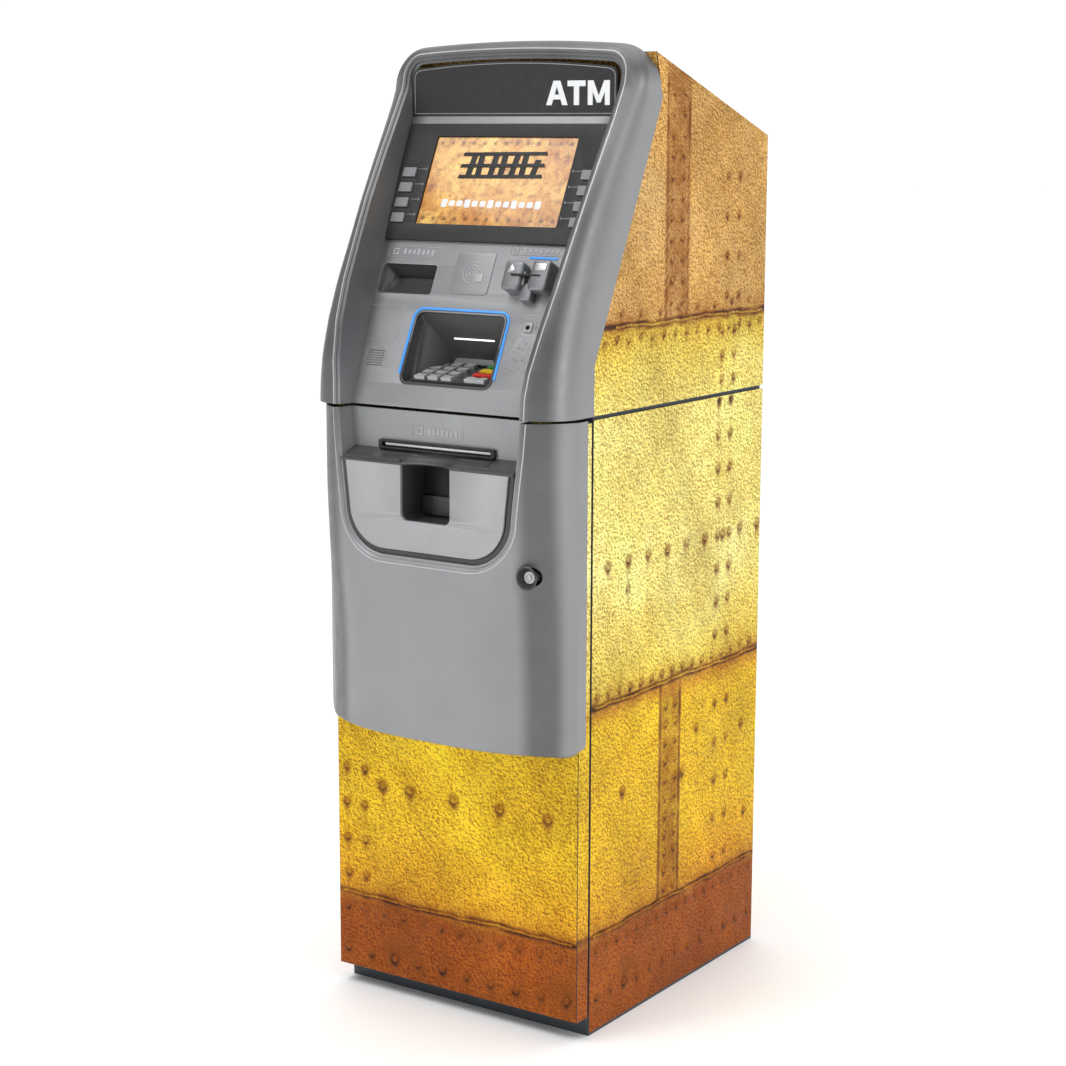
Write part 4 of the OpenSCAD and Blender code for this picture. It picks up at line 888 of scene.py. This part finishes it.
def make_cash_area():
    wall = extruded("cash_wall", [[(-136, SLOT_Z - 12), (136, SLOT_Z - 12), (139, LOWER_TOP), (-139, LOWER_TOP)]],
                    CONSOLE_OUT - 2.2, CONSOLE_OUT, upright(0), 0.2)
    finish_piece(wall, "front_door", "fascia_plastic")
    label("cash_label", 0, 767, 78, 16, 7, upright(-CONSOLE_OUT), "front_door")
    front = upright(0)
    band = extruded("cash_band", [shield_line(5.2, SHELF_Z + 2)], PANEL_OUT - 6, PANEL_OUT - 2.6, front, 0.4)
    cut(band, extruded("cutter", [rounded(0, (POCKET[1] + SHELF_Z + 40) / 2, POCKET[0] + 6, SHELF_Z + 40 - POCKET[1] + 6, 9)], 50, 120, front, 0.1))
    finish_piece(band, "front_door", "dark_plastic")
    panel = extruded("cash_panel", [shield_line(12.5, SHELF_Z - 3)], PANEL_OUT - 4, PANEL_OUT + 0.6, front, 0.7)
    mouth = rounded(0, (POCKET[1] + SHELF_Z + 30) / 2, POCKET[0], SHELF_Z + 30 - POCKET[1], 9)
    cut(panel, extruded("cutter", [mouth], 50, 120, front, 0.1))
    soften(panel, 0.6)
    settle(panel)
    finish_piece(panel, "front_door", "light_plastic", instead=["cash_pocket"])
    # Painted shade: a near-black groove round the cash panel.
    groove = extruded("cash_groove", [shield_line(11.2, SHELF_Z - 2.4), ], PANEL_OUT - 3.4, PANEL_OUT - 2.0, front, 0.1)
    cut(groove, extruded("cutter", [rounded(0, (POCKET[1] + SHELF_Z + 40) / 2, POCKET[0] + 2, SHELF_Z + 40 - POCKET[1] + 2, 9)], 50, 120, front, 0.1))
    finish_piece(groove, "front_door", mat=SHADE_BLACK)
    make_shelf()
    make_pocket_bowl()
    frame_place = upright(-CONSOLE_OUT)
    outer = extruded("slot_frame", [rounded(0, SLOT_Z, 179, 12, 3), rounded(0, SLOT_Z, 168, 6, 2.5)], 0, 5, frame_place, 1)
    finish_piece(outer, "front_door", "gloss_black")
    # Painted shade: a near-black sheet behind the note slot.
    back = extruded("slot_dark", [rounded(0, SLOT_Z, 170, 9, 1)], -2, 0.6, frame_place, 0.1)
    finish_piece(back, "front_door", mat=SHADE_BLACK)
    bar = extruded("slot_bar", [rounded(2, SLOT_Z + 0.7, 162, 3.4, 1.2)], 0.6, 4.0, frame_place, 0.8)
    finish_piece(bar, "front_door", mat=PALE_PAINT_AND_HIGHLIGHT)


def make_shelf():
    """Dark sloping shelf with a shallow tray and a curved finger notch."""
    rows, columns = 22, 90
    back_y, front_y, back_z, front_z = -CONSOLE_OUT + 1, -PANEL_OUT - 1.5, SLOT_Z - 5, SHELF_Z - 3
    points = []
    for r in range(rows):
        t = r / (rows - 1)
        z = back_z + (front_z - back_z) * t
        half = interp(SHIELD_X)(z) - 5.5
        for c in range(columns):
            x = (c / (columns - 1) * 2 - 1) * half
            notch = max(0.0, 1 - (abs(x) / 36) ** 3) * 14
            y = back_y + (front_y + notch - back_y) * t
            tray = 3.2 / (1 + math.exp((abs(x) - 86) / 1.2)) / (1 + math.exp((0.12 - t) / 0.03)) / (1 + math.exp((t - 0.74) / 0.03))
            points.append((x, y, z - tray))
    shelf = mesh_object("cash_shelf_top", put(points), quads(rows, columns))
    thicken(shelf, 2.4)
    settle(shelf)
    finish_piece(shelf, "front_door", "dark_plastic", instead=["cash_shelf"], smooth=40)


def make_pocket_bowl():
    """The pocket behind the panel: side walls, back and a rounded floor."""
    half, low = POCKET[0] / 2, POCKET[1]
    rows, columns = 20, 40
    points = []
    for r in range(rows):
        t = r / (rows - 1)
        shrink = 5 * t
        for x, z in rounded_cradle(half - shrink + 2, low - 2 + shrink * 0.7, 10, SHELF_Z - 6, columns):
            points.append((x, -PANEL_OUT + 2 + 44 * t, z))
    bowl = mesh_object("cash_pocket_bowl", put(points), quads(rows, columns))
    finish_piece(bowl, "front_door", "dark_plastic", smooth=40)
    # Painted shade: the back of the pocket is near-black.
    back = extruded("cash_pocket_back", [rounded(0, (low + SHELF_Z - 6) / 2 + 2, 2 * half - 3, SHELF_Z - 9 - low, 7)], 0, 1.5,
                    upright(-PANEL_OUT + 45), 0.4)
    finish_piece(back, "front_door", mat=SHADE_BLACK)
    ledge = extruded("cash_pocket_ledge", [rounded(0, low + 15, 2 * half - 8, 26, 6)], 0, 5, upright(-PANEL_OUT + 44), 2)
    finish_piece(ledge, "front_door", "dark_plastic")


def rounded_cradle(half, low, r, top, count):
    """An open U of count points, evenly spaced along its length."""
    side = list(np.linspace(top, low + r, 8))
    path = [(-half, z) for z in side] + arc(-half + r, low + r, r, 180, 270, 9)[1:]
    path += arc(half - r, low + r, r, 270, 360, 9) + [(half, z) for z in side[::-1]][1:]
    p = np.array(path)
    reach = np.concatenate([[0], np.cumsum(np.hypot(*np.diff(p, axis=0).T))])
    at = np.linspace(0, reach[-1], count)
    return list(zip(np.interp(at, reach, p[:, 0]), np.interp(at, reach, p[:, 1])))


# ------------------------------------------------------------ the printed wrap
TAN, YELLOW, BRIGHT = linear(216, 172, 96)[:3], linear(236, 208, 74)[:3], linear(250, 238, 140)[:3]
GOLD, AMBER, ORANGE = linear(240, 200, 36)[:3], linear(224, 162, 28)[:3], linear(164, 84, 14)[:3]
UPPER_WELD, MIDDLE_WELD, LOWER_WELD = 899, 428, 129
TONES = ([0, 60, 119, 134, 240, 400, 420, 436, 560, 780, 892, 906, 1240],
         [ORANGE, ORANGE, ORANGE, AMBER, GOLD, GOLD, AMBER, YELLOW, BRIGHT, BRIGHT, YELLOW, TAN, TAN])
GRID = 5.0


def wave(t, seed):
    """A slow wander, the same on every run."""
    return np.sin(t / 37 + seed) * 0.5 + np.sin(t / 13.7 + 2.1 * seed) * 0.3 + np.sin(t / 6.1 + 3.7 * seed) * 0.2


class Wrap:
    """Where rivets, welds and straps lie on one flat face; u runs across it and v is the height."""

    def __init__(self, width, rivets, welds, straps):
        self.width, self.rivets, self.welds, self.straps = width, rivets, welds, straps

    def stain(self, u, v):
        total = np.zeros(len(u))
        for ru, rv, size in self.rivets:
            near = (np.abs(u - ru) < 26) & (v < rv + 26) & (v > rv - 46)
            du, dv = u[near] - ru, v[near] - rv
            # Partly painted shadow: the dark ring round each rivet is set 1.5 mm low, so it shows below the head as its
            # drop shadow as well as rust; the run below is a rust streak.
            ring = np.exp(-((np.hypot(du, dv + 1.5) / (5.2 * size)) ** 2)) * 0.8
            run = np.exp(-(du / (3.6 * size)) ** 2) * np.exp(np.minimum(dv, 0) / (13 * size)) * (dv < 0) * 0.6
            total[near] = np.maximum(total[near], ring + run)
        for height, low_u, high_u, seed in self.welds:
            dv = v - height - 2.2 * wave(u, seed)
            line = np.exp(-(dv / 2.6) ** 2) * 1.1 + np.exp(-np.abs(dv) / 15) * 0.38
            total = np.maximum(total, np.where((u > low_u) & (u < high_u), line, 0))
        for middle, half, low_v, high_v in self.straps:
            du = np.abs(u - middle) - half
            band = 0.34 / (1 + np.exp(du / 2.2)) + 0.5 * np.exp(-(du / 2.4) ** 2)
            total = np.maximum(total, np.where((v > low_v) & (v < high_v), band, 0))
        blotch = np.clip(wave(u * 0.9 + 40, 1.1) * wave(v * 1.3, 2.3) * 2.2, 0, 1) * (v < LOWER_WELD)
        foot = np.clip((70 - v) / 160, 0, 1)
        return np.clip(total + foot * 0.4 + blotch * 0.35, 0, 1.3)


def tones(u, v, seed=0.0):
    """Base colour at each point: bands of height with a slow drift across them."""
    heights, colours = TONES
    shifted = v + 5 * wave(u, 1.3 + seed)
    c = np.stack([np.interp(shifted, heights, [tone[i] for tone in colours]) for i in range(3)], axis=1)
    drift = 1 + 0.16 * wave(u * 0.7 + v * 0.35, 0.6 + seed) + 0.1 * wave(v * 0.8 - u * 0.5, 2.2 + seed)
    return np.clip(c * drift[:, None], 0, 1)


def row(height, low, high, pitch, size=1.0, seed=0.0):
    return [(u, height + 1.5 * math.sin(u + seed), size) for u in np.arange(low, high, pitch)]


def column(middle, low, high, pitch, size=1.0):
    return [(middle + 1.2 * math.sin(v), v, size) for v in np.arange(low, high, pitch)]


def side_wrap(depth):
    rivets = row(UPPER_WELD - 15, 24, depth, 28, 0.8) + row(MIDDLE_WELD + 14, 14, depth, 26, 1.0)
    rivets += row(LOWER_WELD - 17, 16, depth, 25, 1.0) + row(47, 18, depth, 33, 1.15, 1.0)
    rivets += row(UPPER_WELD + 16, 62, depth, 46, 0.8, 2.0)
    for x in (181, 208):
        rivets += column(x, 925, 1190, 26, 0.95)
    for x in (180, 205):
        rivets += column(x, 146, MIDDLE_WELD - 10, 25, 0.95)
    for x in (309, 341):
        rivets += column(x, 470, 790, 45, 1.1) + column(x + 6, 815, 880, 32, 1.0) + column(x + 14, 925, 1090, 52, 0.9)
        rivets += column(x + 2, 158, 400, 54, 1.0)
    rivets += row(606, 36, depth, 48, 1.3, 0.5)
    rivets += [(83, 570, 1.0), (75, 307, 1.25), (226, 297, 1.2), (262, 350, 1.0), (386, 330, 1.1), (398, 200, 1.0)]
    welds = [(UPPER_WELD, 0, depth, 0.4), (MIDDLE_WELD, 0, depth, 1.9), (LOWER_WELD, 0, depth, 3.1)]
    straps = [(194, 27, UPPER_WELD + 4, 1240), (192, 25, LOWER_WELD, MIDDLE_WELD)]
    return Wrap(depth, rivets, welds, straps)


def front_wrap():
    width = 2 * HALF
    rivets = [(HALF + x, 287, 1.5) for x in (-116, -71, 0, 72, 146)]
    rivets += row(LOWER_WELD - 20, 15, width, 31, 1.0) + row(51, 15, width, 39, 1.25)
    for x in (-175, -145):
        rivets += column(HALF + x, 158, 345, 49, 1.1)
    welds = [(LOWER_WELD, 0, width, 0.9)]
    return Wrap(width, rivets, welds, [])


def skin(name, wrap, body, place, rows, instead=(), seed=0.0):
    """A thin painted sheet; rows holds (height, first u, last u) and place turns (u, v, out) into x, y, z."""
    columns = int(wrap.width / GRID) + 1
    u = np.concatenate([np.linspace(a, b, columns) for _, a, b in rows])
    v = np.repeat([r[0] for r in rows], columns)
    me = bpy.data.meshes.new(name)
    me.from_pydata(put(place(u, v, 0.35)).tolist(), [], quads(len(rows), columns))
    paint_mesh(me, "tint", tones(u, v, seed))
    paint_mesh(me, "stain", wrap.stain(u, v))
    ob = finish_piece(new_object(name, me), body, "cabinet_wrap")
    return ob


RIVET = [(3.7, 0.0), (3.5, 0.7), (2.9, 1.35), (1.8, 1.85), (0.2, 2.05)]


def studs(name, wrap, body, place, inside):
    """Domed rivet heads on a face, and the raised weld beads."""
    points, faces = [], []
    for u, v, size in wrap.rivets:
        if not inside(u, v):
            continue
        start = len(points)
        for r, out in RIVET:
            for a in np.linspace(0, 2 * math.pi, 10, endpoint=False):
                points.append((u + r * size * math.cos(a), v + r * size * math.sin(a), 0.3 + out * size * 0.62))
        faces += [tuple(start + i for i in f) for f in quads(len(RIVET), 10, closed=True)]
        faces.append(tuple(start + (len(RIVET) - 1) * 10 + i for i in range(10)))
    for height, low_u, high_u, seed in wrap.welds:
        us = np.arange(low_u + 2, high_u - 1, 2.5)
        us = np.array([u for u in us if inside(u, height)])
        middle = height + 2.2 * wave(us, seed)
        ripple = 1 + 0.35 * np.sin(us * 1.35) + 0.2 * np.sin(us * 0.61)
        start = len(points)
        for k, a in enumerate(np.linspace(0, math.pi, 7)):
            points += list(zip(us, middle + 1.5 * ripple * math.cos(a), 0.25 + 1.2 * ripple * math.sin(a)))
        faces += [tuple(start + i for i in f) for f in quads(7, len(us))]
    p = np.array(points)
    me = bpy.data.meshes.new(name)
    me.from_pydata(put(place(p[:, 0], p[:, 1], p[:, 2])).tolist(), [], faces)
    paint_mesh(me, "tint", tones(p[:, 0], p[:, 1]))
    paint_mesh(me, "stain", np.full(len(p), 0.34))
    finish_piece(new_object(name, me), body, "cabinet_wrap")


def head_front(z):
    return lean_y(z) if z <= CORNER_Z else ROOF_Y + (HEAD_TOP - z) / (HEAD_TOP - CORNER_Z) * 14


def head_back(z):
    roof = ROOF_Y + (HEAD_TOP - z) / math.tan(ROOF_SLOPE)
    return min(DEPTH, roof)


def make_wraps():
    side = side_wrap(DEPTH)
    safe_rows = [(v, 0.8, DEPTH - 0.8) for v in np.linspace(4, SAFE_TOP + 1, 157)]
    head_rows = [(v, head_front(v) + 0.8, head_back(v) - 0.8) for v in np.linspace(HEAD_Z - 2, HEAD_TOP - 0.4, 88)]
    in_safe = lambda u, v: 8 < v < SAFE_TOP - 7 and 5 < u < DEPTH - 5
    in_head = lambda u, v: HEAD_Z + 7 < v < HEAD_TOP - 6 and head_front(v) + 26 < u < head_back(v) - 6
    for sx, word in ((1, "right"), (-1, "left")):
        place = lambda u, v, out, sx=sx: np.stack([sx * (HALF + out) + 0 * u, u, v], axis=1)
        for part, rows, inside in (("safe", safe_rows, in_safe), ("head", head_rows, in_head)):
            skin(f"wrap_{word}_{part}", side, "cabinet", place, rows, seed=0.0 if sx > 0 else 1.7)
            studs(f"rivets_{word}_{part}", side, "cabinet", place, inside)
    front = front_wrap()
    across = lambda u, v, out: np.stack([u - HALF, PANEL_Y - out + 0 * u, v + 0 * u], axis=1)
    rows = [(v, 0.6, 2 * HALF - 0.6) for v in np.linspace(PANEL_LOW + 0.6, PANEL_HIGH - 1, 152)]
    skin("wrap_front", front, "front_door", across, rows, seed=0.9)
    studs("rivets_front", front, "front_door", across, lambda u, v: PANEL_LOW + 8 < v < LOWER_BOTTOM - 12 and 6 < u < 2 * HALF - 6)
    plain = Wrap(-PANEL_Y - 4, [], [(LOWER_WELD, 0, 30, 0.9)], [])
    for sx, word in ((1, "right"), (-1, "left")):
        edge = lambda u, v, out, sx=sx: np.stack([sx * (HALF + out * 0.6) + 0 * u, PANEL_Y + u, v], axis=1)
        skin(f"wrap_panel_edge_{word}", plain, "front_door", edge, [(v, 0.3, -PANEL_Y - 3.6) for v, _, _ in rows], seed=0.4)
    back = Wrap(2 * HALF, row(UPPER_WELD + 14, 20, 2 * HALF, 30) + row(MIDDLE_WELD + 15, 20, 2 * HALF, 30)
                + row(LOWER_WELD - 16, 20, 2 * HALF, 30), [(MIDDLE_WELD, 0, 2 * HALF, 1.1), (LOWER_WELD, 0, 2 * HALF, 2.0)], [])
    behind = lambda u, v, out: np.stack([u - HALF, DEPTH + out + 0 * u, v], axis=1)
    skin("wrap_back", back, "cabinet", behind, [(v, 0.8, 2 * HALF - 0.8) for v in np.linspace(4, SAFE_TOP - 2, 157)], seed=2.4)
    nose = Wrap(2 * HALF, [], [], [])
    over = lambda u, v, out: np.stack([u - HALF, np.array([head_front(z) for z in v]) - out, v], axis=1)
    skin("wrap_nose", nose, "cabinet", over, [(v, 0.4, 2 * HALF - 0.4) for v in np.linspace(CORNER_Z + 2, HEAD_TOP - 0.5, 12)])
    slope = Wrap(2 * HALF, [], [], [(200, 40, 0, 2000)])
    run = (DEPTH - ROOF_Y) / math.cos(ROOF_SLOPE)
    top = lambda u, v, out: np.stack([u - HALF, ROOF_Y + (v - 1000) * math.cos(ROOF_SLOPE) + out * math.sin(ROOF_SLOPE),
                                      HEAD_TOP - (v - 1000) * math.sin(ROOF_SLOPE) + out * math.cos(ROOF_SLOPE)], axis=1)
    skin("wrap_roof", slope, "cabinet", top, [(1000 + d, 0.8, 2 * HALF - 0.8) for d in np.linspace(1.5, run - 1, 60)], seed=3.0)


# ------------------------------------------------------------ CAD pieces that are shown as they are
SHOWN = {
    "dark_steel": ["safe_cabinet", "top_cabinet", "front_panel", "base_plinth", "seam_collar", "safe_door"],
    "bright_steel": ["hinge_pins", "locking_bolts"],
    "zinc_steel": ["dispenser_frame", "control_computer", "power_supply"],
    "rubber": ["pick_rollers", "presenter_rollers", "cable_grommet"],
    "cassette_plastic": ["note_cassette"],
    "chrome": ["lock_cylinder", "safe_handle"],
    "gloss_black": ["combination_dial"],
    "light_plastic": ["receipt_printer", "card_reader"],
    "paper": ["paper_roll"],
    "dark_plastic": ["keypad_plate", "speaker"],
}
KEY_FINISH = {4: ("key_metal", "key_red", "key_yellow", "key_green")}


def dress(node, slot, edge=0.5, mat=None):
    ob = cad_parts[node]
    ob.data.materials.clear()
    ob.data.materials.append(mat or MATS[slot])
    soften(ob, edge)
    ob.data.shade_smooth()
    ob.data.set_sharp_from_angle(angle=math.radians(30))


def dress_cad():
    for slot, nodes in SHOWN.items():
        for node in nodes:
            dress(node, slot, 0.3 if node in ("keypad_plate", "paper_roll") else 0.6)
    for side in ("left", "right"):
        for i in range(1, 5):
            dress(f"function_key_{side}_{i}", "module_silver", 1.0, KEY_GREY)
    for r in range(1, 5):
        for c in range(1, 5):
            dress(f"keypad_key_{r}{c}", KEY_FINISH[4][r - 1] if c == 4 else "key_metal", 1.1)


# ------------------------------------------------------------ stage, light and camera
def make_stage():
    n = Nodes("pale_floor")
    tone = n.mix(n.spread(n.noise(3, 3), 0.3, 0.7), (0.93, 0.93, 0.93, 1), (0.95, 0.95, 0.95, 1))
    n.set(Base_Color=tone, Roughness=0.85)
    size = 40
    me = bpy.data.meshes.new("floor")
    me.from_pydata([(-size, -size, 0), (size, -size, 0), (size, size, 0), (-size, size, 0)], [], [(0, 1, 2, 3)])
    me.materials.append(n.mat)
    floor = new_object("floor", me)


def lamp(name, where, aim, size, power, tall=None):
    data = bpy.data.lights.new(name, "AREA")
    data.energy, data.size, data.shape = power, size, "RECTANGLE"
    data.size_y = tall or size
    ob = new_object(name, data)
    ob.location = where
    ob.rotation_euler = (Vector(aim) - Vector(where)).to_track_quat("-Z", "Y").to_euler()
    return ob


BRIGHT_SIDE = Vector((-0.05, 0.99, 0)).normalized()
ROOM_DIM, ROOM_BRIGHT = 0.16, 1.06
OVERHEAD = 2.3


def make_light():
    """A bright studio wall behind the machine, a dimmer room in front, and a soft bright ceiling."""
    world = bpy.data.worlds.new("studio")
    bpy.context.scene.world = world
    world.use_nodes = True
    tree = world.node_tree
    where = tree.nodes.new("ShaderNodeTexCoord").outputs["Generated"]
    along = tree.nodes.new("ShaderNodeVectorMath")
    along.operation = "DOT_PRODUCT"
    along.inputs[1].default_value = BRIGHT_SIDE
    tree.links.new(where, along.inputs[0])
    ramp = tree.nodes.new("ShaderNodeMapRange")
    ramp.interpolation_type = "SMOOTHSTEP"
    for name, value in (("From Min", 0.3), ("From Max", 0.6), ("To Min", ROOM_DIM), ("To Max", ROOM_BRIGHT)):
        ramp.inputs[name].default_value = value
    tree.links.new(along.outputs["Value"], ramp.inputs["Value"])
    tree.links.new(ramp.outputs[0], tree.nodes["Background"].inputs["Strength"])
    tree.nodes["Background"].inputs["Color"].default_value = (1, 1, 1, 1)
    ceiling = bpy.data.lights.new("ceiling", "SUN")
    ceiling.energy, ceiling.angle = OVERHEAD, math.radians(75)
    new_object("ceiling", ceiling).location = (0, 0, 5)
    middle = (0, 0, 0.75)
    lamp("front", (-1.4, -2.7, 1.4), middle, 0.6, 15, 2.0)
    lamp("above", (-0.9, -1.6, 3.3), (0, -0.2, 0.9), 1.6, 30)
    lamp("right", (3.2, -1.0, 1.7), middle, 0.8, 27, 2.6)
    bpy.context.scene.view_settings.view_transform = "Standard"


EYE = (1640.0, -2267.8, 1136.1)
LOOK = (-0.552227, 0.814618, -0.177323)
ROLL = math.radians(0.19)
LENS, SENSOR = 75.495, 36.0


def make_camera():
    data = bpy.data.cameras.new("camera")
    data.lens, data.sensor_width = LENS, SENSOR
    ob = new_object("camera", data)
    ob.location = put([EYE])[0]
    turn = Vector(LOOK).to_track_quat("-Z", "Y").to_matrix() @ Matrix.Rotation(ROLL, 3, "Z")
    ob.rotation_euler = turn.to_euler()
    bpy.context.scene.camera = ob


make_camera()
make_light()
make_stage()
dress_cad()
make_upper_shell()
make_console()
make_console_details()
make_bezel()
make_screen()
make_sign()
make_receipt_mouth()
make_card_reader()
make_keypad_well()
make_light_strip()
make_lower_shell()
make_cash_area()
make_wraps()
